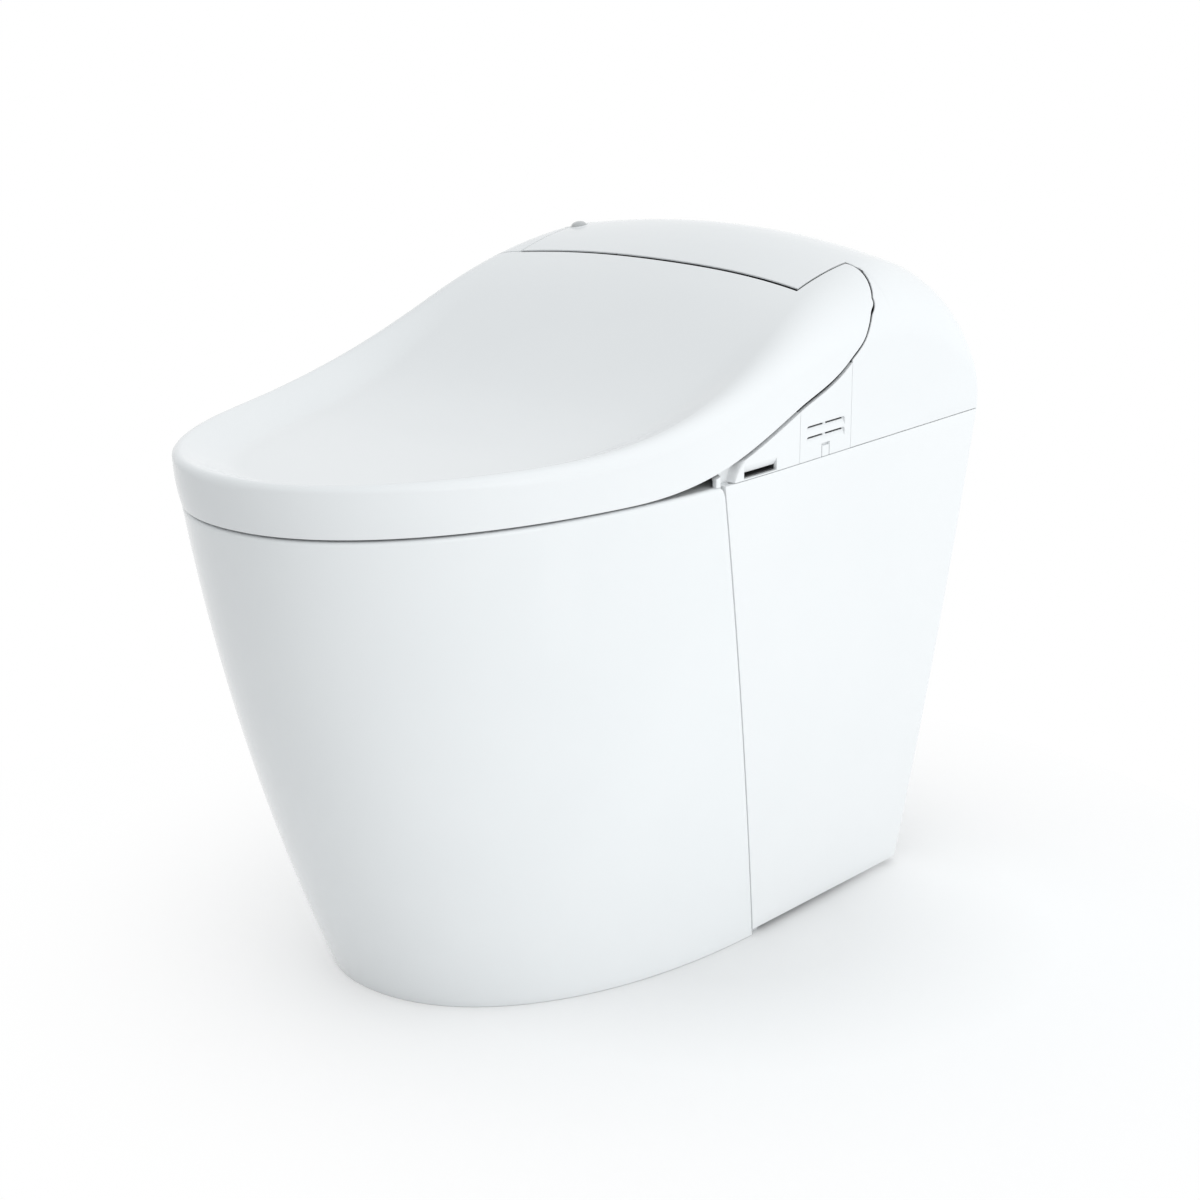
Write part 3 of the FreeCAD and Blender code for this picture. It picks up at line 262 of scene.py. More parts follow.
def pieceFrom(name, bm):
    mesh = bpy.data.meshes.new(name)
    bm.to_mesh(mesh)
    bm.free()
    mesh.polygons.foreach_set("use_smooth", [True] * len(mesh.polygons))
    piece = bpy.data.objects.new(name, mesh)
    bpy.context.scene.collection.objects.link(piece)
    return piece


def meshFromPatches(name, patches, pivot, weld=welds["shell"], caps=()):
    # each patch is a grid of points, rows by columns; patches that meet share their edge points
    bm = bmesh.new()
    for patch in patches:
        rows = [[bm.verts.new(p) for p in row] for row in np.asarray(patch)]
        for a, b in zip(rows, rows[1:]):
            for k in range(len(a) - 1):
                bm.faces.new((a[k], a[k + 1], b[k + 1], b[k]))
    for cap in caps:
        bm.faces.new([bm.verts.new(p) for p in cap])
    bmesh.ops.remove_doubles(bm, verts=bm.verts, dist=weld)
    bmesh.ops.dissolve_degenerate(bm, edges=bm.edges, dist=weld / 3)
    bmesh.ops.recalc_face_normals(bm, faces=bm.faces)
    middle = Vector(pivot)  # the faces look away from here
    outward = sum((f.calc_center_median() - middle).dot(f.normal) * f.calc_area() for f in bm.faces)
    if outward < 0:
        bmesh.ops.reverse_faces(bm, faces=bm.faces)
    return pieceFrom(name, bm)


def thicken(piece, wall):
    shell = piece.modifiers.new("wall", "SOLIDIFY")
    shell.thickness = wall
    shell.offset = -1.0
    shell.use_even_offset = False


def softenEdges(piece, width, angle=50.0, segments=3, clamp=False):
    bevel = piece.modifiers.new("soft edges", "BEVEL")
    bevel.width = width
    bevel.segments = segments
    bevel.limit_method = "ANGLE"
    bevel.angle_limit = math.radians(angle)
    bevel.use_clamp_overlap = clamp


def settle(piece):
    # bakes the modifiers into the mesh
    graph = bpy.context.evaluated_depsgraph_get()
    mesh = bpy.data.meshes.new_from_object(piece.evaluated_get(graph))
    piece.modifiers.clear()
    piece.data = mesh


def cutAway(piece, cutters):
    for cutter in cutters:
        cut = piece.modifiers.new("cut", "BOOLEAN")
        cut.operation = "DIFFERENCE"
        cut.solver = "EXACT"
        cut.object = cutter
    settle(piece)
    for cutter in cutters:
        bpy.data.objects.remove(cutter)


def makeShell(name, patches, pivot, wall, cutters=()):
    # a thickened skin with the cutters taken out of it
    piece = meshFromPatches(name, patches, pivot)
    thicken(piece, wall)
    if cutters:
        settle(piece)
        cutAway(piece, cutters)
    return piece


def roundedBlock(name, low, high, radius, segments=4):
    bm = bmesh.new()
    bmesh.ops.create_cube(bm, size=1.0)
    size = Vector(high) - Vector(low)
    for v in bm.verts:
        v.co = Vector(low) + Vector((size[k] * (v.co[k] + 0.5) for k in range(3)))
    bmesh.ops.bevel(bm, geom=bm.edges[:], offset=radius, segments=segments, profile=0.5, affect="EDGES")
    return pieceFrom(name, bm)


def prismCut(name, sections):
    # closed cutter through a row of outlines
    rings = np.array([list(s) + [s[0]] for s in sections])
    middle = rings.mean(axis=(0, 1))
    return meshFromPatches(name, [rings], middle, welds["cutter"], [rings[0][:-1], rings[-1][:-1]])


def blockCut(name, x0, x1, y0, y1, z0, z1):
    return prismCut(name, [[(x0, y, z0), (x1, y, z0), (x1, y, z1), (x0, y, z1)] for y in (y0, y1)])


# Materials
surfaceLook = {  # what a finish has unless it says otherwise
    "ior": 1.5, "shine": 0.5, "coat": 0.0, "coatRough": 0.05, "depth": 0.0, "brush": 0.0,
    "patchDetail": 4.0, "tintStops": (0.3, 0.7), "grainDetail": 2.0, "grainScale": 900.0, "bumpDepth": 0.0003,
}


def addNode(tree, kind, values=(), **settings):
    node = tree.nodes.new(kind)
    for setting, value in settings.items():
        setattr(node, setting, value)
    for socket, value in dict(values).items():
        node.inputs[socket].default_value = value
    return node


def makeFinish(name, own):
    look = {**surfaceLook, **own}
    material = bpy.data.materials.new(name)
    material.use_nodes = True
    tree = material.node_tree
    link = tree.links.new
    shader = tree.nodes["Principled BSDF"]
    values = {
        "Coat Weight": look["coat"], "Coat Roughness": look["coatRough"], "IOR": look["ior"],
        "Specular IOR Level": look["shine"], "Subsurface Weight": look["depth"],
        "Metallic": float("brush" in own), "Anisotropic": look["brush"],  # only metals have a brush value
    }
    for socket, value in values.items():
        shader.inputs[socket].default_value = value
    place = addNode(tree, "ShaderNodeTexCoord")
    noise = "ShaderNodeTexNoise"
    patches = addNode(tree, noise, {"Scale": look["patchScale"], "Detail": look["patchDetail"]})
    tint = addNode(tree, "ShaderNodeValToRGB")
    colours = (look["low"], look["high"])
    for stop, spot, colour in zip(tint.color_ramp.elements, look["tintStops"], colours):
        stop.position = spot
        stop.color = (*colour, 1.0)
    rough = addNode(tree, "ShaderNodeMapRange", {"To Min": look["rough"][0], "To Max": look["rough"][1]})
    grain = addNode(tree, noise, {"Scale": look["grainScale"], "Detail": look["grainDetail"]})
    bump = addNode(tree, "ShaderNodeBump", {"Strength": look["bump"], "Distance": look["bumpDepth"]})
    link(place.outputs["Object"], patches.inputs["Vector"])
    link(place.outputs["Object"], grain.inputs["Vector"])
    link(patches.outputs["Fac"], tint.inputs["Fac"])
    link(patches.outputs["Fac"], rough.inputs["Value"])
    link(tint.outputs["Color"], shader.inputs["Base Color"])
    link(rough.outputs["Result"], shader.inputs["Roughness"])
    link(grain.outputs["Fac"], bump.inputs["Height"])
    link(bump.outputs["Normal"], shader.inputs["Normal"])
    return material


finishes = {
    "glaze": {"low": (0.735, 0.752, 0.76), "high": (0.755, 0.77, 0.777), "rough": (0.05, 0.10),
              "shine": 0.35, "coat": 0.1, "coatRough": 0.03,
              "patchScale": 5.0, "grainScale": 22.0, "bump": 0.05, "bumpDepth": 0.0015},
    "panel": {"low": (0.745, 0.758, 0.765), "high": (0.76, 0.771, 0.777), "rough": (0.16, 0.24), "shine": 0.2,
              "patchScale": 7.0, "grainScale": 380.0, "bump": 0.03},
    "cover": {"low": (0.738, 0.752, 0.76), "high": (0.753, 0.766, 0.773), "rough": (0.14, 0.20), "shine": 0.2,
              "patchScale": 6.0, "grainScale": 420.0, "bump": 0.03},
    "lid_inside": {"low": (0.74, 0.75, 0.757), "high": (0.77, 0.778, 0.783), "rough": (0.28, 0.36),
                   "patchScale": 8.0, "grainScale": 600.0, "bump": 0.05},
    "seat": {"low": (0.79, 0.80, 0.805), "high": (0.81, 0.818, 0.822), "rough": (0.2, 0.28), "coat": 0.2,
             "patchScale": 8.0, "grainScale": 420.0, "bump": 0.03},
    "inner_white": {"low": (0.66, 0.67, 0.68), "high": (0.72, 0.728, 0.735), "rough": (0.42, 0.55),
                    "patchScale": 14.0, "bump": 0.08, "bumpDepth": 0.0004},
    "housing": {"low": (0.74, 0.75, 0.757), "high": (0.77, 0.778, 0.783), "rough": (0.25, 0.33),
                "patchScale": 8.0, "grainScale": 600.0, "bump": 0.04},
    "slot_grey": {"low": (0.035, 0.036, 0.038), "high": (0.055, 0.056, 0.058), "rough": (0.45, 0.6),
                  "patchScale": 40.0, "bump": 0.1, "bumpDepth": 0.0004},
    "lens": {"low": (0.40, 0.415, 0.42), "high": (0.46, 0.472, 0.476), "rough": (0.06, 0.12), "coat": 0.8,
             "coatRough": 0.03, "patchScale": 60.0, "grainScale": 300.0, "bump": 0.02, "bumpDepth": 0.0002},
    "rubber": {"low": (0.10, 0.10, 0.105), "high": (0.14, 0.14, 0.145), "rough": (0.6, 0.75),
               "patchScale": 60.0, "grainScale": 1400.0, "bump": 0.15, "bumpDepth": 0.0004},
    "gear": {"low": (0.66, 0.63, 0.55), "high": (0.72, 0.69, 0.61), "rough": (0.35, 0.45),
             "patchScale": 60.0, "bump": 0.06},
    "dark_case": {"low": (0.03, 0.03, 0.033), "high": (0.05, 0.05, 0.053), "rough": (0.42, 0.55),
                  "patchScale": 25.0, "bump": 0.12, "bumpDepth": 0.0005},
    "rotor": {"low": (0.045, 0.045, 0.05), "high": (0.065, 0.065, 0.07), "rough": (0.35, 0.45),
              "patchScale": 40.0, "bump": 0.08},
    "filter_foam": {"low": (0.015, 0.015, 0.016), "high": (0.04, 0.04, 0.042), "rough": (0.8, 0.95),
                    "patchScale": 240.0, "grainScale": 700.0, "bump": 0.5, "bumpDepth": 0.001},
    "tank": {"low": (0.52, 0.545, 0.565), "high": (0.58, 0.60, 0.62), "rough": (0.35, 0.45), "depth": 0.1,
             "patchScale": 12.0, "grainScale": 700.0, "bump": 0.06, "bumpDepth": 0.0004},
    "pipe": {"low": (0.62, 0.63, 0.64), "high": (0.68, 0.69, 0.70), "rough": (0.3, 0.4),
             "patchScale": 20.0, "grainScale": 700.0, "bump": 0.05},
    "board": {"low": (0.012, 0.075, 0.032), "high": (0.02, 0.105, 0.045), "rough": (0.3, 0.45),
              "patchScale": 160.0, "grainScale": 500.0, "bump": 0.1, "bumpDepth": 0.0004},
    "steel": {"low": (0.52, 0.52, 0.53), "high": (0.60, 0.60, 0.61), "rough": (0.22, 0.32), "brush": 0.5,
              "patchScale": 40.0, "grainScale": 1200.0, "bump": 0.04, "bumpDepth": 0.0002},
    "bracket": {"low": (0.45, 0.46, 0.47), "high": (0.55, 0.56, 0.57), "rough": (0.32, 0.48), "brush": 0.1,
                "patchScale": 70.0, "grainScale": 500.0, "bump": 0.08},
    "wand": {"low": (0.70, 0.71, 0.72), "high": (0.76, 0.77, 0.78), "rough": (0.06, 0.12), "brush": 0.0,
             "patchScale": 30.0, "grainScale": 400.0, "bump": 0.02, "bumpDepth": 0.0002},
    "brass": {"low": (0.56, 0.38, 0.15), "high": (0.66, 0.46, 0.20), "rough": (0.28, 0.42), "brush": 0.1,
              "patchScale": 50.0, "grainScale": 700.0, "bump": 0.12, "bumpDepth": 0.0004},
    "fitting": {"low": (0.62, 0.62, 0.63), "high": (0.70, 0.70, 0.71), "rough": (0.12, 0.2), "brush": 0.0,
                "patchScale": 40.0, "grainScale": 500.0, "bump": 0.03, "bumpDepth": 0.0002},
    "metal_case": {"low": (0.55, 0.56, 0.57), "high": (0.62, 0.63, 0.64), "rough": (0.34, 0.44), "brush": 0.3,
                   "patchScale": 20.0, "bump": 0.05, "bumpDepth": 0.0002},
}
finishes["lid"] = finishes["cover"]  # moulded to match
materials = {name: makeFinish(name, look) for name, look in finishes.items()}
nodeSlots = {s["node"]: s["material_slot"] for s in frame["record"]["subparts"]}
for nodeName, node in frame["nodes"].items():
    node.data.materials.clear()
    node.data.materials.append(materials[nodeSlots[nodeName]])
print("materials set on", len(nodeSlots), "nodes")


def dress(piece, body, slot, *nodes):
    piece.data.materials.clear()
    piece.data.materials.append(materials[slot])
    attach(piece, body)
    if nodes:
        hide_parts(*nodes)


# Lid
lidLook = {
    "noseColumns": 80, "sideColumns": 20, "earColumns": 30, "rearColumns": 6,
    "outerRows": 60, "innerRows": 28, "cheekRows": 6, "cheekDepth": 0.03,
    "planSteps": 240, "planPower": 1.6, "arcSteps": 48, "wallSteps": 30, "flatSteps": 40,
    "earSteps": 300, "earWallSteps": 160, "halvings": 26, "softEdge": 0.0006, "insideDrop": 0.05,
    "focus": 0.296, "focusShare": 0.47,            # how far behind the tip the nose lines gather
    "grooveWidth": 0.0022, "grooveDepth": 0.0016, "grooveAbove": 0.004, "grooveSteps": 40,
    "groovePast": 0.004, "grooveShort": 0.0004,    # past the ear's inner side, and short of the outer
}


def lidColumn(angle, sideY=None):
    if sideY is None:
        wallX, wallY = nosePoint(halfWidth, noseY, frontY, angle)
    else:
        wallX, wallY = halfWidth, sideY
    lean = abs(math.cos(angle)) ** (2 / form["powerY"]) if sideY is None else 0.0
    gather = frontY + lidLook["focus"]
    targetY = wallY if wallY > gather else gather + (wallY - gather) * lidLook["focusShare"]
    share = np.linspace(0, 1, lidLook["planSteps"]) ** lidLook["planPower"]
    planX = wallX * (1 - share)
    planY = wallY + (targetY - wallY) * share
    distance = rimDistance(planX, planY)
    radius = float(edgeRadius(wallY))

    def onTop(inward):
        at = np.interp(inward, distance, share)
        x = wallX * (1 - at)
        y = wallY + (targetY - wallY) * at
        return x, y

    turn = np.linspace(0, np.pi / 2, lidLook["arcSteps"])
    arcX, arcY = onTop(radius * (1 - np.cos(turn)))
    arcZ = topHeight(arcX, arcY) - radius * (1 - np.sin(turn))
    arcY = arcY + upperFlare(arcZ) * lean
    wallZ = np.linspace(float(lidEdgeZ(wallY)), arcZ[0], lidLook["wallSteps"])[:-1]
    wall = asPoints(wallX, wallY + upperFlare(wallZ) * lean, wallZ)
    flatX, flatY = onTop(np.linspace(radius, seams["earWidth"], lidLook["flatSteps"])[1:])
    flat = asPoints(flatX, flatY, topHeight(flatX, flatY))
    line = np.concatenate([wall, asPoints(arcX, arcY, arcZ), flat])
    outer = resample(line, spread(0, 1, lidLook["outerRows"]))
    step = spread(0, 1, lidLook["innerRows"])[1:]
    innerX = outer[-1, 0] * (1 - step)
    innerY = outer[-1, 1] + (targetY - outer[-1, 1]) * step
    inner = asPoints(innerX, innerY, topHeight(innerX, innerY))
    return np.concatenate([outer, inner])


def earEnd(x):
    # halves the span again and again until it closes on the seam
    low = np.full_like(x, earY)
    high = np.full_like(x, hingeY + seams["earInner"])
    for _ in range(lidLook["halvings"]):
        middle = (low + high) / 2
        inside = lidDepth(x, middle, roundedTop(x, middle), 0.0) > 0
        low = np.where(inside, middle, low)
        high = np.where(inside, high, middle)
    return low


def earColumn(t):
    inward = seams["earWidth"] * np.linspace(0, 1, lidLook["earSteps"]) ** 2
    x = halfWidth - inward
    y = earY + (earEnd(x) - earY) * t
    z = roundedTop(x, y)
    wallZ = np.linspace(rimZ, z[0], lidLook["earWallSteps"])[:-1]
    wall = asPoints(halfWidth, y[0], wallZ)
    line = np.concatenate([wall, asPoints(x, y, z)])[::-1]
    kept = endWhere(line, -lidDepth(line[:, 0], line[:, 1], line[:, 2], tiny))
    outer = resample(kept[::-1], spread(0, 1, lidLook["outerRows"]))
    down = spread(0, lidLook["cheekDepth"], lidLook["cheekRows"])[1:]
    cheek = outer[-1] - asPoints(0.0, 0.0, down)
    return np.concatenate([outer, cheek])


def earGroove():
    # carries the panel line on across the left ear
    sections = []
    width = lidLook["grooveWidth"] / 2
    ends = (earX - lidLook["groovePast"], halfWidth - lidLook["grooveShort"])
    for x in np.linspace(*ends, lidLook["grooveSteps"]):
        y = float(panelFront(x)) + seams["panelGap"] / 2
        top = float(roundedTop(x, y))
        low, high = top - lidLook["grooveDepth"], top + lidLook["grooveAbove"]
        sections.append([(-x, y - width, low), (-x, y + width, low),
                         (-x, y + width, high), (-x, y - width, high)])
    return prismCut("earGroove", sections)


def makeLid():
    columns = [lidColumn(a) for a in spread(0, np.pi / 2, lidLook["noseColumns"])]
    columns += [lidColumn(0, y) for y in spread(noseY, earY, lidLook["sideColumns"])[1:]]
    main = np.array(columns)
    seam = main[-1][lidLook["outerRows"]:]
    rear = []
    for t in spread(0, 1, lidLook["rearColumns"]):
        y = earY + (panelFront(seam[:, 0]) - earY) * t
        rear.append(asPoints(seam[:, 0], y, topHeight(seam[:, 0], y)))
    ear = [earColumn(t) for t in spread(0, 1, lidLook["earColumns"])]
    ear[0][:lidLook["outerRows"] + 1] = main[-1][:lidLook["outerRows"] + 1]
    patches = [main, np.array(rear), np.array(ear)]
    patches += [mirrorX(p) for p in patches]
    inside = (0.0, 0.0, rimZ - lidLook["insideDrop"])
    piece = makeShell("lidShell", patches, inside, seams["coverWall"], [earGroove()])
    softenEdges(piece, lidLook["softEdge"], clamp=True)
    dress(piece, "lid", "lid", "lid_shell")
    print("lid made,", len(piece.data.polygons), "faces")


makeLid()

# Sizes of the flank covers, whose rear edge the rear cover meets
flankLook = {
    "columns": 150, "wallRows": 22, "capRows": 6, "softEdge": 0.0007, "seam": 0.0038,
    "filterFront": 0.262, "filterRear": 0.193,                     # ahead of the rear wall
    "noseLow": 0.345, "noseHigh": 0.312, "nosePower": 1.7,         # where the face curves down to the rim
    "stepDepth": 0.008, "stepSoft": 0.004, "lipWidth": 0.004, "lipSoft": 0.006,
    "frontReturn": 0.004, "returnStart": 0.0012, "returnShares": (1.0, 0.6, 0.3, 0.1),
    "capReach": 0.040, "capFront": 0.0, "capFull": 0.06, "capLeast": 0.006,
    "inside": (-0.06, 0.05, -0.03),                                # a place behind the face
}

# Rear cover
coverLook = {
    "stripColumns": 64, "panelColumns": 40, "flatRings": 3, "roundRows": 34,
    "sideRows": 60, "topRows": 30, "wallRows": 4, "lineSteps": 300, "wallSteps": 120, "cornerRounds": 20,
    "softEdge": 0.00025, "wall": 0.0014, "leastWall": 0.005, "insideY": 0.25,
    "crowd": 1.3, "rowPower": 8.0, "closeUp": 0.4,                 # how columns and rows close up by the ear
}


def coverHalf(y):
    into = np.clip(y - rearY + form["cornerRound"], 0, form["cornerRound"])
    return halfWidth - form["cornerRound"] + math.sqrt(form["cornerRound"] ** 2 - into ** 2)


def coverLine(y, innerX):
    # outline from the bottom edge up the side and over to innerX
    half = coverHalf(y)
    inward = (half - innerX) * np.linspace(0, 1, coverLook["lineSteps"]) ** 2
    x = half - inward
    z = np.maximum(roundedTop(x, y, half), coverBottom + coverLook["leastWall"])
    wallZ = np.linspace(coverBottom, z[0], coverLook["wallSteps"])[:-1]
    wall = asPoints(half, y, wallZ)
    return np.concatenate([wall, asPoints(x, y, z)]), z[0] - coverBottom


def coverRing(y, settled, gapX):
    line, wallHeight = coverLine(y, gapX)
    rows = coverLook["sideRows"]
    even = spread(0, 1, rows)
    wallShare = wallHeight / lineLength(line)
    cornered = np.concatenate([spread(0, wallShare, coverLook["wallRows"]),
                               spread(wallShare, 1, rows - coverLook["wallRows"])[1:]])
    side = resample(line, even + (cornered - even) * settled)
    x = spread(gapX, 0, coverLook["topRows"])[1:]
    top = asPoints(x, y, roundedTop(x, y, coverHalf(y)))
    return np.concatenate([side, top])


def coverStrip(y, gapX):
    line, _ = coverLine(y, gapX)
    full = lineLength(line)
    line = endWhere(line, lidDepth(line[:, 0], line[:, 1], line[:, 2], seams["lidGap"]))
    lost = full - lineLength(line)
    even = spread(0, 1, coverLook["sideRows"])
    power = min(max(coverLook["closeUp"] * full / max(lost, tiny), 1.0), coverLook["rowPower"])
    return resample(line, (full * even - lost * even ** power) / (full - lost))


def coverCorner():
    gapX = earX - seams["lidGap"]
    y = hingeY
    for _ in range(coverLook["cornerRounds"]):
        rise = float(roundedTop(gapX, y)) - hingeZ
        y = hingeY + math.sqrt((seams["earInner"] + seams["lidGap"]) ** 2 - rise ** 2)
    return y


def makeRearCover():
    cornerY = coverCorner()
    arcStart = rearY - form["rearRound"]
    lengths = list(spread(cornerY, arcStart, coverLook["flatRings"])[:-1])
    turn = spread(0, np.pi / 2, coverLook["roundRows"])
    lengths += list(arcStart + form["rearRound"] * np.sin(turn))
    firstY = rearY - flankLook["filterRear"] + seams["thinSeam"]
    patches = []
    for gap, left in ((seams["lidGap"], False), (seams["leftGap"], True)):
        gapX = earX - gap
        rings = [coverRing(y, float(easeIn((y - cornerY) / (rearY - cornerY))), gapX) for y in lengths]
        rear = rings[-1][coverLook["wallRows"]:]
        back = [asPoints(rear[:, 0], rear[:, 1], rear[:, 2] + (coverBottom - rear[:, 2]) * t)
                for t in spread(0, 1, coverLook["wallRows"])]
        crowded = (1 - spread(0, 1, coverLook["stripColumns"])) ** coverLook["crowd"]
        strip = [coverStrip(y, gapX) for y in cornerY + (firstY - cornerY) * crowded]
        strip[-1] = rings[0][:coverLook["sideRows"] + 1]
        topX = rings[0][coverLook["sideRows"]:, 0]
        panel = []
        for t in spread(0, 1, coverLook["panelColumns"]):
            start = panelFront(topX) + seams["panelGap"]
            y = start + (cornerY - start) * t
            panel.append(asPoints(topX, y, roundedTop(topX, y)))
        side = [np.array(p) for p in (rings, back, strip, panel)]
        patches += [mirrorX(p) for p in side] if left else side
    piece = makeShell("rearCover", patches, (0.0, coverLook["insideY"], rimZ), coverLook["wall"])
    softenEdges(piece, coverLook["softEdge"])
    dress(piece, "body", "cover", "rear_cover")
    print("rear cover made,", len(piece.data.polygons), "faces")


makeRearCover()

# Side panels
panelLook = {"levels": 40, "noseSteps": 16, "sideSteps": 24, "cornerSteps": 8, "returnSteps": 6,
             "wall": 0.004, "softEdge": 0.0002}


def panelRow(z, returnX):
    half, start, tip, rear = skirtPlan(z)
    corner = form["cornerRound"]
    first = noseAngle(start, tip, jointLine(z) + seams["thinSeam"])
    turn = spread(first, np.pi / 2, panelLook["noseSteps"])
    points = [nosePoint(half, start, tip, a) for a in turn]
    points += [(half, y) for y in spread(start, rear - corner, panelLook["sideSteps"])[1:]]
    for a in spread(0, np.pi / 2, panelLook["cornerSteps"])[1:]:
        points.append((half - corner + corner * math.cos(a), rear - corner + corner * math.sin(a)))
    points += [(x, rear) for x in spread(half - corner, returnX, panelLook["returnSteps"])[1:]]
    return [(x, y, z) for x, y in points]


def makeSidePanels():
    low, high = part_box("right_side_panel")
    levels = spread(low.z, high.z, panelLook["levels"])
    patch = np.array([panelRow(z, low.x) for z in levels])
    for name, node, grid in (("rightSidePanel", "right_side_panel", patch),
                             ("leftSidePanel", "left_side_panel", mirrorX(patch))):
        inside = (0.0, (low.y + high.y) / 2, rimZ / 2)
        piece = makeShell(name, [grid], inside, panelLook["wall"])
        softenEdges(piece, panelLook["softEdge"])
        dress(piece, "body", "panel", node)
    print("side panels made, top at", round(high.z, 4), "rim at", round(rimZ, 4))


makeSidePanels()

# Flank covers, filter cover and air slot
slotLook = {
    "front": 0.3335, "length": 0.041, "low": 0.0010, "top": 0.0128, "depth": 0.0030,
    "steps": 8, "proud": 0.001,                                    # cutters stand proud of the face
    "mouthLow": 0.0012, "mouthTop": 0.0054, "mouthDepth": 0.02, "mouthEnd": 0.0006, "mouthInset": 0.0002,
}
louvreLook = {
    "rows": 2, "low": 0.0112, "pitch": 0.0086, "shelf": 0.0006, "depth": 0.0027, "margin": 0.0085,
    "proud": 0.0004, "cornerRound": 0.0026, "cornerSteps": 5,
    "rib": 0.0035, "slit": 0.0021, "slitDrop": 0.0001, "slitDeep": 0.006, "slitShallow": 0.0012,
}
tabLook = {"width": 0.0090, "height": 0.0085, "topGroove": 0.0024, "sideGroove": 0.0012, "depth": 0.0026,
           "proud": 0.001, "overlap": 0.0001}


def flankX(y, z):
    if y >= noseY:
        return halfWidth
    tip = frontY + float(upperFlare(z))
    return nosePoint(halfWidth, noseY, tip, noseAngle(noseY, tip, y))[0]


def flankTop(y):
    return float(seamZ(y, flankLook["seam"]))


def stepInset(y, z, first):
    # the face behind the curved front corner lies deeper, and a slim lip stands at the very front
    low = rearY - flankLook["noseLow"]
    high = rearY - flankLook["noseHigh"]
    share = (y - low) / (high - low)
    if share >= 1:
        return 0.0
    power = flankLook["nosePower"]
    edge = coverBottom - flankLook["stepSoft"]
    if share > 0:
        edge += (flankTop(high) - edge) * (1 - (1 - share) ** power) ** (1 / power)
    depth = flankLook["stepDepth"] * float(easeIn((z - edge) / flankLook["stepSoft"]))
    return depth * float(easeIn((y - first - flankLook["lipWidth"]) / flankLook["lipSoft"]))


def flankColumn(y, first, inward, cap):
    top = flankTop(y)
    column = []
    for z in spread(coverBottom, top, flankLook["wallRows"]):
        column.append((flankX(y, z) - stepInset(y, z, first) - inward, y, z))
    if cap:
        span = flankLook["capFull"] - flankLook["capFront"]
        least = flankLook["capLeast"]
        reach = least + (flankLook["capReach"] - least) * float(easeIn((y - flankLook["capFront"]) / span))
        edge = column[-1][0]
        rows = flankLook["capRows"]
        column += [(edge - reach * k / rows, y, top) for k in range(1, rows + 1)]
    return column


def flankGrids(first, last, cap):
    start = first + flankLook["returnStart"] if cap else first
    stations = spread(start, last, flankLook["columns"])
    grids = [np.array([flankColumn(y, first, 0.0, cap) for y in stations])]
    if cap:
        depths = [flankLook["frontReturn"] * s for s in flankLook["returnShares"]]
        front = [flankColumn(first, first, depth, False) for depth in depths]
        grids.append(np.array(front + [flankColumn(start, first, 0.0, False)]))
    return grids


def slotCuts():
    y0 = rearY - slotLook["front"]
    y1 = y0 + slotLook["length"]
    low, top = rimZ + slotLook["mouthLow"], rimZ + slotLook["mouthTop"]
    sections = []
    for y in spread(y0, y1, slotLook["steps"]):
        face = flankX(y, rimZ)
        out, deep = face + slotLook["proud"], face - slotLook["depth"]
        sections.append([(out, y, rimZ + slotLook["low"]), (out, y, rimZ + slotLook["top"]),
                         (deep, y, top), (deep, y, low)])
    end, inset = slotLook["mouthEnd"], slotLook["mouthInset"]
    mouth = blockCut("slotMouth", halfWidth - slotLook["mouthDepth"], halfWidth,
                     y0 + end, y1 - end, low + inset, top - inset)
    return [prismCut("slotFace", sections), mouth]


def louvreCuts(y0, y1):
    cutters = []
    corner = louvreLook["cornerRound"]
    ends = corner * (1 - np.cos(spread(0, np.pi / 2, louvreLook["cornerSteps"])))
    stations = np.concatenate([y0 + ends, y1 - ends[::-1]])
    out = halfWidth + louvreLook["proud"]
    depth = louvreLook["depth"] + louvreLook["proud"]
    rise = louvreLook["pitch"] - louvreLook["shelf"]
    middle, rib = (y0 + y1) / 2, louvreLook["rib"] / 2
    x0, x1 = halfWidth - louvreLook["slitDeep"], halfWidth - louvreLook["slitShallow"]
    for row in range(louvreLook["rows"]):
        low = rimZ + louvreLook["low"] + row * louvreLook["pitch"]
        sections = []
        for y in stations:
            away = max(corner - min(y - y0, y1 - y), 0.0)
            top = low + rise - corner + math.sqrt(max(corner ** 2 - away ** 2, 0.0))
            sections.append([(out, y, low), (out, y, top), (out - depth * (top - low) / rise, y, top)])
        cutters.append(prismCut("louvreFace", sections))
        top = low + rise - louvreLook["slitDrop"]
        for a, b in ((y0 + corner / 2, middle - rib), (middle + rib, y1 - corner / 2)):
            cutters.append(blockCut("louvreSlit", x0, x1, a, b, top - louvreLook["slit"], top))
    return cutters


def tabCuts(middle):
    half = tabLook["width"] / 2
    wide = half + tabLook["sideGroove"]
    top = coverBottom + tabLook["height"]
    x0, x1 = halfWidth - tabLook["depth"], halfWidth + tabLook["proud"]
    low, high = coverBottom - tabLook["proud"], top + tabLook["overlap"]
    return [blockCut("tabTop", x0, x1, middle - wide, middle + wide, top, top + tabLook["topGroove"]),
            blockCut("tabFront", x0, x1, middle - wide, middle - half, low, high),
            blockCut("tabRear", x0, x1, middle + half, middle + wide, low, high)]


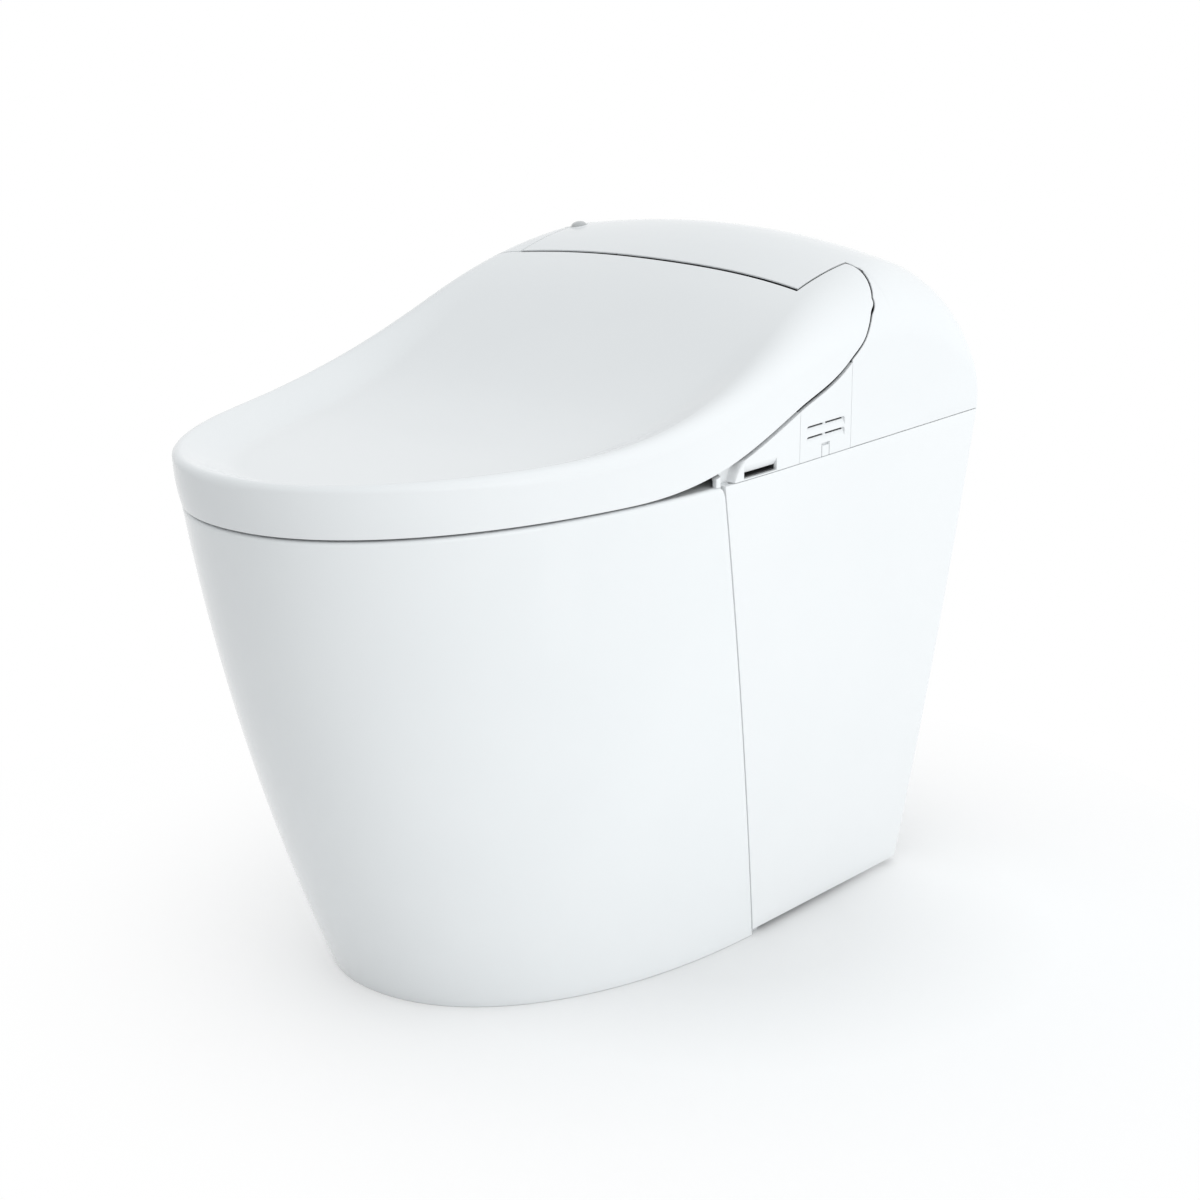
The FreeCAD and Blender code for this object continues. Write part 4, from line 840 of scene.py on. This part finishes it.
def makeFlanks():
    first = hingeY + seams["edgeBehind"][1]
    filterFront = rearY - flankLook["filterFront"]
    filterRear = rearY - flankLook["filterRear"]
    pivot = np.array((halfWidth, 0.0, rimZ)) + flankLook["inside"]
    rightGrids = flankGrids(first, filterFront - seams["thinSeam"], True)
    right = makeShell("rightFlank", rightGrids, pivot, seams["coverWall"], slotCuts())
    softenEdges(right, flankLook["softEdge"] / 2, segments=2, clamp=True)
    dress(right, "body", "cover", "right_flank_cover")
    leftGrids = [mirrorX(g) for g in flankGrids(first, filterRear, True)]
    left = makeShell("leftFlank", leftGrids, pivot * flipX, seams["coverWall"])
    softenEdges(left, flankLook["softEdge"] / 2, segments=2, clamp=True)
    dress(left, "body", "cover", "left_flank_cover")
    coverGrids = flankGrids(filterFront, filterRear, False)
    margin = louvreLook["margin"]
    cuts = louvreCuts(filterFront + margin, filterRear - margin)
    cuts += tabCuts((filterFront + filterRear) / 2)
    cover = makeShell("filterCover", coverGrids, pivot, seams["coverWall"], cuts)
    softenEdges(cover, flankLook["softEdge"] / 3, segments=2, clamp=True)
    dress(cover, "filter", "cover", "filter_cover")
    print("flank covers made")


makeFlanks()

# Lens on the left shoulder, and the sill under the gap at the panel line, whose darker grey is painted shade in
# the gap
lensLook = {
    "x": -0.139, "inset": 0.1315, "radius": 0.0070, "dome": 0.0042, "sink": 0.0025,
    "domeSteps": 13, "pole": 0.0001, "below": 0.001,
    "rim": 0.0100, "rimHeight": 0.0004, "rimGap": 0.0002,
    "rimInner": 0.0008, "rimOuter": 0.0012, "rimDrop": 0.0002,
}
sillLook = {"depth": 0.0042, "under": 0.003, "front": 0.0003, "rows": 6, "columns": 48, "wall": 0.0012,
            "endGap": 0.004, "softEdge": 0.0003}


def surfaceFrame(x, y):
    step = 0.0005
    slopeX = float(roundedTop(x + step, y) - roundedTop(x - step, y)) / (2 * step)
    slopeY = float(roundedTop(x, y + step) - roundedTop(x, y - step)) / (2 * step)
    normal = Vector((-slopeX, -slopeY, 1.0)).normalized()
    across = Vector((1.0, 0.0, slopeX)).normalized()
    return Vector((x, y, float(roundedTop(x, y)))), across, normal.cross(across), normal


def turned(name, profile, place, sides=48):
    # a round piece standing on the surface: profile is radius and height, from the middle outward
    origin, across, along, normal = place
    rings = []
    for radius, height in profile:
        turn = spread(0, 2 * np.pi, sides)
        ring = [origin + across * radius * math.cos(a) + along * radius * math.sin(a) + normal * height
                for a in turn]
        rings.append([tuple(p) for p in ring])
    middle = origin - normal * lensLook["below"]
    return meshFromPatches(name, [np.array(rings)], tuple(middle), welds["round"])


def makeLens():
    place = surfaceFrame(lensLook["x"], rearY - lensLook["inset"])
    radius, dome = lensLook["radius"], lensLook["dome"]
    sink, pole = lensLook["sink"], lensLook["pole"]
    turn = spread(pole, np.pi / 2, lensLook["domeSteps"])
    profile = [(radius * math.sin(a), dome * math.cos(a)) for a in turn]
    profile += [(radius, -sink), (pole, -sink)]
    lens = turned("sensorLens", profile, place)
    dress(lens, "body", "lens", "sensor_lens")
    rim, lip, bore = lensLook["rim"], lensLook["rimHeight"], radius + lensLook["rimGap"]
    ring = [(bore, -sink), (bore, 0.0), (radius + lensLook["rimInner"], lip)]
    ring += [(rim - lensLook["rimOuter"], lip), (rim, -lensLook["rimDrop"]), (rim, -sink), (bore, -sink)]
    dress(turned("lensRing", ring, place), "body", "cover")


def makeSill():
    patch = []
    end = earX - sillLook["endGap"]
    for x in spread(-end, end, sillLook["columns"]):
        front = float(panelFront(x)) + sillLook["front"]
        rear = float(panelFront(x)) + seams["panelGap"] + sillLook["under"]
        y = spread(front, rear, sillLook["rows"])
        z = roundedTop(x, y) - sillLook["depth"]
        patch.append(asPoints(x, y, z))
    sill = makeShell("panelSill", [np.array(patch)], (0.0, panelY, rimZ), sillLook["wall"])
    softenEdges(sill, sillLook["softEdge"], segments=2)
    # the sill's darker tank grey is painted shade in the panel-line gap
    dress(sill, "body", "tank")
    print("lens and sill made")


makeLens()
makeSill()

# Ceramic skirt with rim and bowl, one closed body
bowlLook = {
    "wall": 0.010, "lip": 0.0043, "lipReach": 0.012, "rimRound": 0.0035, "footRound": 0.0015,
    "edgeRound": 0.0015, "edgeShare": 0.29, "seamCorner": 0.0045,
    "deckLow": 0.036, "deckRear": 0.06, "levels": 56, "columns": 110, "deckSide": 18, "deckBack": 18,
    "footPoints": 5, "rimLevels": 7, "rimSteps": 6,
    "halfWidth": 0.128, "halfLength": 0.165, "front": 0.063, "depth": 0.221, "bowlWall": 0.011,
    "mouthRound": 0.007, "mouthSteps": 6, "bowlRows": 36, "flatRows": 5,
    # share of depth, width and length, and shift to the rear
    "sections": ((0.0, 1.0, 1.0, 0.0), (0.2, 0.97, 0.97, 0.001), (0.5, 0.8, 0.79, 0.014),
                 (0.8, 0.5, 0.48, 0.052), (1.0, 0.27, 0.25, 0.074)),
    "trapRadius": 0.027, "trapWall": 0.009, "drain": 0.196,
    "trapPath": ((-0.150, 0.2075), (-0.080, 0.196), (-0.038, 0.262), (0.0, 0.236), (0.0, 0.0)),
    "throatAhead": 0.03, "throatUp": 0.005, "throatCore": 0.0005,  # the cut that opens the bowl to the trap
    "webX": 0.100, "webWidth": 0.010, "webRear": 0.078, "webRound": 0.002,
    "channelHalf": 0.022, "channelBelow": 0.014, "channelAbove": 0.06, "channelRound": 0.006,
    "channelAhead": 0.22, "channelBehind": 0.02,
}


def skirtRows():
    # height and inset of one upright line: down the inside, round the foot, up the outside and onto the rim
    low = rimZ - bowlLook["deckLow"]
    foot = bowlLook["footRound"]
    rim = bowlLook["rimRound"]
    levels = bowlLook["levels"]
    rows = [(z, bowlLook["wall"]) for z in np.linspace(low, foot, levels)]
    rows += [(0.0, bowlLook["wall"] - foot), (0.0, 2 * foot)]
    for a in np.linspace(np.pi / 2, 0, bowlLook["footPoints"]):
        rows.append((foot * (1 - math.sin(a)), foot * (1 - math.cos(a))))
    rows += [(z, 0.0) for z in np.linspace(foot, low, levels)[1:]]
    rows += [(z, 0.0) for z in spread(low, rimZ - rim, bowlLook["rimLevels"])[1:]]
    for a in spread(0, np.pi / 2, bowlLook["rimSteps"])[1:]:
        rows.append((rimZ - rim + rim * math.sin(a), rim * (1 - math.cos(a))))
    return rows


def skirtColumn(rows, spot, back, extra):
    points = []
    for z, inset in rows:
        half, start, tip, _ = skirtPlan(z)
        q = inset + extra
        corner = bowlLook["seamCorner"] * max(0.0, 1 - (rimZ - z) / (2 * bowlLook["seamCorner"])) ** 2
        edge = noseAngle(start, tip + q, jointLine(z) - back - corner)
        x, y = nosePoint(half - q, start, tip + q, edge * (1 - spot))
        points.append((x, y, z))
    return np.array(points)


def deckColumn(rows, y, across=1.0, atRear=False):
    points = []
    for z, inset in rows:
        half, start, tip, _ = skirtPlan(z)
        q = inset + bowlLook["lip"]
        x = half - q if y >= start else nosePoint(half - q, start, tip + q, noseAngle(start, tip + q, y))[0]
        points.append((x * across, y - inset if atRear else y, z))
    return np.array(points)


def bowlSection(depth):
    table = np.array(bowlLook["sections"])
    spots = table[:, 0]
    i = min(int(np.searchsorted(spots, depth, side="right")) - 1, len(spots) - 2)
    width = spots[i + 1] - spots[i]
    t = (depth - spots[i]) / width
    values = []
    for k in (1, 2, 3):
        column = table[:, k]
        slopes = np.gradient(column, spots)
        values.append(hermite(t, width, column[i], slopes[i], column[i + 1], slopes[i + 1]))
    return values


def bowlRing(directions, depth, wall, z):
    across, along, shift = bowlSection(depth)
    a = bowlLook["halfWidth"] * across + wall
    b = bowlLook["halfLength"] * along + wall
    centre = frontY + bowlLook["front"] + bowlLook["halfLength"] + shift
    reach = 1 / np.hypot(directions[:, 0] / a, directions[:, 1] / b)
    return asPoints(directions[:, 0] * reach, centre + directions[:, 1] * reach, z)


def bowlInside(directions):
    m = bowlLook["mouthRound"]
    depth = bowlLook["depth"]
    rings = [bowlRing(directions, 0.0, m * (1 - math.sin(a)), rimZ - m * (1 - math.cos(a)))
             for a in spread(0, np.pi / 2, bowlLook["mouthSteps"])]
    rings += [bowlRing(directions, d, 0.0, rimZ - depth * d)
              for d in spread(m / depth, 1, bowlLook["bowlRows"])[1:]]
    return rings


def bowlOutside(directions):
    depth = bowlLook["depth"]
    wall = bowlLook["bowlWall"]
    first = bowlLook["deckLow"] / depth
    shares = spread(first, 1, bowlLook["bowlRows"])
    return [bowlRing(directions, d, wall, rimZ - depth * d - wall * (d - first) / (1 - first))
            for d in shares]


def bridge(ringA, ringB, steps):
    return [ringA + (ringB - ringA) * t for t in spread(0, 1, steps)]


def wandChannel():
    # the leaning groove that the wash wand runs out through
    axis = Vector(joints["wand_slide"]["axis"])
    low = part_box("wash_wand")[0]
    radius = -low.x
    half = bowlLook["channelHalf"]
    near = (-half, -bowlLook["channelAhead"], -bowlLook["channelBelow"])
    far = (half, bowlLook["channelBehind"], bowlLook["channelAbove"])
    block = roundedBlock("channelCut", near, far, bowlLook["channelRound"])
    block.location = (0.0, low.y - radius * axis.z, low.z - radius * axis.y)
    block.rotation_euler = (math.atan2(-axis.z, -axis.y), 0.0, 0.0)
    return block


def tubeAlong(name, path, radius, bore, sides=40, bend=0.03, bendShare=0.45, bendSteps=8):
    # a pipe in the middle plane with rounded bends, open at both ends
    points = [np.array(path[0])]
    for before, at, after in zip(path, path[1:], path[2:]):
        before, at, after = (np.array(p) for p in (before, at, after))
        inLength, outLength = np.linalg.norm(before - at), np.linalg.norm(after - at)
        inDir, outDir = (before - at) / inLength, (after - at) / outLength
        reach = min(bend, bendShare * outLength, bendShare * inLength)
        a, b = at + inDir * reach, at + outDir * reach
        for t in spread(0, 1, bendSteps):
            points.append((1 - t) ** 2 * a + 2 * t * (1 - t) * at + t * t * b)
    points.append(np.array(path[-1]))
    points = np.array(points)
    along = np.gradient(points, axis=0)
    along /= np.linalg.norm(along, axis=1)[:, None]
    turn = spread(0, 2 * np.pi, sides)

    def ring(k, r):
        x = r * np.cos(turn)
        side = r * np.sin(turn)
        return asPoints(x, points[k, 0] - along[k, 1] * side, points[k, 1] + along[k, 0] * side)

    outer = [ring(k, radius) for k in range(len(points))]
    inner = [ring(k, bore) for k in range(len(points))][::-1]
    return meshFromPatches(name, [np.array(outer + inner + outer[:1])], (0.0, points[2, 0], points[2, 1]))


def makeCeramic():
    rows = skirtRows()
    levels = bowlLook["levels"]
    edge = bowlLook["edgeRound"]
    lip = bowlLook["lip"]
    bent = edge * bowlLook["edgeShare"]
    seamEdge = [(-bowlLook["lipReach"], lip), (0.0, lip), (0.0, edge), (bent, bent)]
    right = [skirtColumn(rows, 0.0, back, extra) for back, extra in seamEdge]
    right += [skirtColumn(rows, s, edge, 0.0) for s in spread(0, 1, bowlLook["columns"])]
    right = np.array(right)
    skirt = np.concatenate([right, (right * flipX)[::-1][1:]])

    footLast = levels + bowlLook["footPoints"] + 1  # the row where the outside begins
    deckStart = footLast + levels - 1               # and the row where the rim begins
    deckRows = [rows[0]] + rows[deckStart:]
    lipEnd = np.concatenate([right[0][:1], right[0][deckStart:]])
    rearEnd = rearY - bowlLook["deckRear"]
    sideY = spread(jointLine(rimZ) + bowlLook["lipReach"], rearEnd, bowlLook["deckSide"])[1:-1]
    half = [lipEnd] + [deckColumn(deckRows, y) for y in sideY]
    back = [deckColumn(deckRows, rearEnd, s, True) for s in spread(1, -1, bowlLook["deckBack"])]
    deck = np.array(half + back + [c * flipX for c in half[::-1]])

    ring = np.concatenate([skirt[:, -1][::-1], deck[1:, -1]])
    under = np.concatenate([skirt[:, 0][::-1], deck[1:, 0]])
    centre = np.array([0.0, frontY + bowlLook["front"] + bowlLook["halfLength"]])
    rays = ring[:, :2] - centre
    rays /= np.linalg.norm(rays, axis=1)[:, None]
    inside = bowlInside(rays)
    outside = bowlOutside(rays)
    caps = [inside[-1][:-1], outside[-1][:-1]]
    end = right[0]
    wallEnd = np.array([end[:levels][::-1], end[footLast:footLast + levels]])
    footEnd = end[levels - 1:footLast + 1]
    caps += [footEnd, footEnd * flipX]
    rimFlat = np.array(bridge(ring, inside[0], bowlLook["flatRows"]))
    underFlat = np.array(bridge(under, outside[0], bowlLook["flatRows"]))
    patches = [skirt, deck, rimFlat, np.array(inside), underFlat, np.array(outside)]
    patches += [wallEnd, mirrorX(wallEnd)]
    piece = meshFromPatches("ceramicBody", patches, (0.0, 0.0, rimZ / 2), caps=caps)

    drainY = rearY - bowlLook["drain"]
    trapPath = [(drainY + y, z) for y, z in bowlLook["trapPath"]]
    radius = bowlLook["trapRadius"]
    mouth = (trapPath[0][0] - bowlLook["throatAhead"], trapPath[0][1] + bowlLook["throatUp"])
    throat = tubeAlong("throatCut", [mouth, *trapPath[1:3]], radius, bowlLook["throatCore"])
    cutAway(piece, [wandChannel(), throat])
    dress(piece, "body", "glaze", "ceramic_bowl")
    trap = tubeAlong("trapTube", trapPath, radius + bowlLook["trapWall"], radius)
    dress(trap, "body", "glaze")
    for side in (-1, 1):
        low = (bowlLook["webX"], rearY - form["jointFloor"], 0.0)
        high = (low[0] + bowlLook["webWidth"], rearY - bowlLook["webRear"], rimZ - bowlLook["deckLow"])
        web = roundedBlock("rearWebLeft" if side < 0 else "rearWebRight", low, high, bowlLook["webRound"])
        if side < 0:
            web.data.transform(Matrix.Scale(-1, 4, (1, 0, 0)))
            web.data.flip_normals()
        dress(web, "body", "glaze")
    print("ceramic made,", len(piece.data.polygons), "faces")


makeCeramic()

# Camera, floor and light
camera = {"place": (1.3987, -1.6181, 0.9194), "aim": (0.01593, 0.0560, 0.26724),
          "lens": 82.25, "sensor": 36.0, "clipEnd": 50.0}


def putInScene(name, data, look):
    # stands a camera or a lamp at its place and turns it to its aim
    holder = bpy.data.objects.new(name, data)
    bpy.context.scene.collection.objects.link(holder)
    holder.location = look["place"]
    aim = Vector(look["aim"]) - Vector(look["place"])
    holder.rotation_euler = aim.to_track_quat("-Z", "Y").to_euler()
    return holder


def makeCamera():
    data = bpy.data.cameras.new("photoCamera")
    data.lens = camera["lens"]
    data.sensor_width = camera["sensor"]
    data.clip_end = camera["clipEnd"]
    bpy.context.scene.camera = putInScene("photoCamera", data, camera)


makeCamera()
print("camera set")

stageLook = {
    "floorRadius": 0.66, "floorSides": 128, "floorCentre": (0.02, -0.02), "floorRough": 0.7,
    # the floor's colour holds a painted shadow: darker near fadeCentre beside the object's right side, lightening
    # to the plain floor colour further out
    "floorNear": 0.80, "floorFar": 0.90, "shadeEnd": 0.27,
    "whiteNear": 0.0, "whiteFar": 0.985,                  # share of plain white in the middle and at the edge
    "fadeCentre": (0.12, 0.10, 0.0), "fadeStart": 0.10, "fadeEnd": 0.63,
    "worldColour": (0.965, 0.988, 1.0), "worldLow": 0.03, "worldHigh": 1.50,
    "brightSide": (0.86, 0.31, 0.40),                      # the room is lighter on this side
    "edgeSide": (-0.95, 0.1, -0.3), "edgeLight": 0.9,      # and a second, weaker light comes from here
}


def seenRays(tree):
    # one for the eye, mirrors and clear pieces, nought for light that falls on the object
    path = addNode(tree, "ShaderNodeLightPath")
    seen = path.outputs["Is Camera Ray"]
    for ray in ("Is Glossy Ray", "Is Transmission Ray"):
        either = addNode(tree, "ShaderNodeMath", operation="MAXIMUM")
        tree.links.new(seen, either.inputs[0])
        tree.links.new(path.outputs[ray], either.inputs[1])
        seen = either.outputs[0]
    return seen


def mixInto(tree, share, first, second, output):
    mix = addNode(tree, "ShaderNodeMixShader")
    for socket, source in enumerate((share, first.outputs[0], second.outputs[0])):
        tree.links.new(source, mix.inputs[socket])
    tree.links.new(mix.outputs[0], tree.nodes[output].inputs["Surface"])


def makeFloor():
    bm = bmesh.new()
    sides, radius = stageLook["floorSides"], stageLook["floorRadius"]
    bmesh.ops.create_circle(bm, cap_ends=True, segments=sides, radius=radius)
    floor = pieceFrom("floor", bm)
    floor.location = (*stageLook["floorCentre"], 0.0)
    paint = bpy.data.materials.new("floorPaint")
    paint.use_nodes = True
    tree = paint.node_tree
    link = tree.links.new
    shader = tree.nodes["Principled BSDF"]
    shader.inputs["Roughness"].default_value = stageLook["floorRough"]
    place = addNode(tree, "ShaderNodeTexCoord")
    reach = addNode(tree, "ShaderNodeVectorMath", {1: stageLook["fadeCentre"]}, operation="DISTANCE")
    fade = addNode(tree, "ShaderNodeMapRange", {
        "From Min": stageLook["fadeStart"], "From Max": stageLook["fadeEnd"],
        "To Min": stageLook["whiteNear"], "To Max": stageLook["whiteFar"]}, interpolation_type="SMOOTHSTEP")
    # painted shadow: the floor colour darkens towards fadeCentre, by the object's right side
    shade = addNode(tree, "ShaderNodeMapRange", {
        "From Min": stageLook["fadeStart"], "From Max": stageLook["shadeEnd"],
        "To Min": stageLook["floorNear"], "To Max": stageLook["floorFar"]})
    white = addNode(tree, "ShaderNodeEmission")
    share = addNode(tree, "ShaderNodeMath", operation="MULTIPLY")
    link(place.outputs["Object"], reach.inputs[0])
    link(reach.outputs["Value"], fade.inputs["Value"])
    link(reach.outputs["Value"], shade.inputs["Value"])
    link(shade.outputs["Result"], shader.inputs["Base Color"])
    link(fade.outputs["Result"], share.inputs[0])
    link(seenRays(tree), share.inputs[1])
    mixInto(tree, share.outputs[0], shader, white, "Material Output")
    floor.data.materials.append(paint)


def sideLight(tree, place, side, levels):
    # brighter the more a direction turns to the given side
    facing = addNode(tree, "ShaderNodeVectorMath", {1: Vector(side).normalized()}, operation="DOT_PRODUCT")
    level = addNode(tree, "ShaderNodeMapRange", levels)
    tree.links.new(place.outputs["Generated"], facing.inputs[0])
    tree.links.new(facing.outputs["Value"], level.inputs["Value"])
    return level.outputs["Result"]


def makeWorld():
    world = bpy.data.worlds.new("studio")
    bpy.context.scene.world = world
    world.use_nodes = True
    tree = world.node_tree
    link = tree.links.new
    soft = tree.nodes["Background"]
    soft.inputs["Color"].default_value = (*stageLook["worldColour"], 1.0)
    place = addNode(tree, "ShaderNodeTexCoord")
    room = {"From Min": -1.0, "To Min": stageLook["worldLow"], "To Max": stageLook["worldHigh"]}
    edge = {"To Max": stageLook["edgeLight"]}
    total = addNode(tree, "ShaderNodeMath", operation="ADD")
    link(sideLight(tree, place, stageLook["brightSide"], room), total.inputs[0])
    link(sideLight(tree, place, stageLook["edgeSide"], edge), total.inputs[1])
    link(total.outputs[0], soft.inputs["Strength"])
    plain = addNode(tree, "ShaderNodeBackground", {"Color": (1.0, 1.0, 1.0, 1.0), "Strength": 1.0})
    mixInto(tree, seenRays(tree), soft, plain, "World Output")


def areaLight(name, look):
    data = bpy.data.lights.new(name, "AREA")
    data.shape = "RECTANGLE"
    data.size, data.size_y = look["width"], look["height"]
    data.energy = look["power"]
    putInScene(name, data, look)


lamps = {
    "rightBox": {"place": (2.2, -0.35, 0.6), "aim": (0.0, 0.0, 0.3),
                 "width": 1.2, "height": 0.8, "power": 3.6},
    "stripBox": {"place": (1.9, 0.35, -0.55), "aim": (0.16, -0.16, 0.3),
                 "width": 0.3, "height": 1.3, "power": 0.3},
    "frontBox": {"place": (0.5, -2.3, 1.2), "aim": (0.0, 0.0, 0.4),
                 "width": 0.5, "height": 0.5, "power": 0.4},
}
makeFloor()
makeWorld()
for lampName, lamp in lamps.items():
    areaLight(lampName, lamp)
print("stage and lights set")

bpy.context.scene.view_settings.view_transform = "Standard"
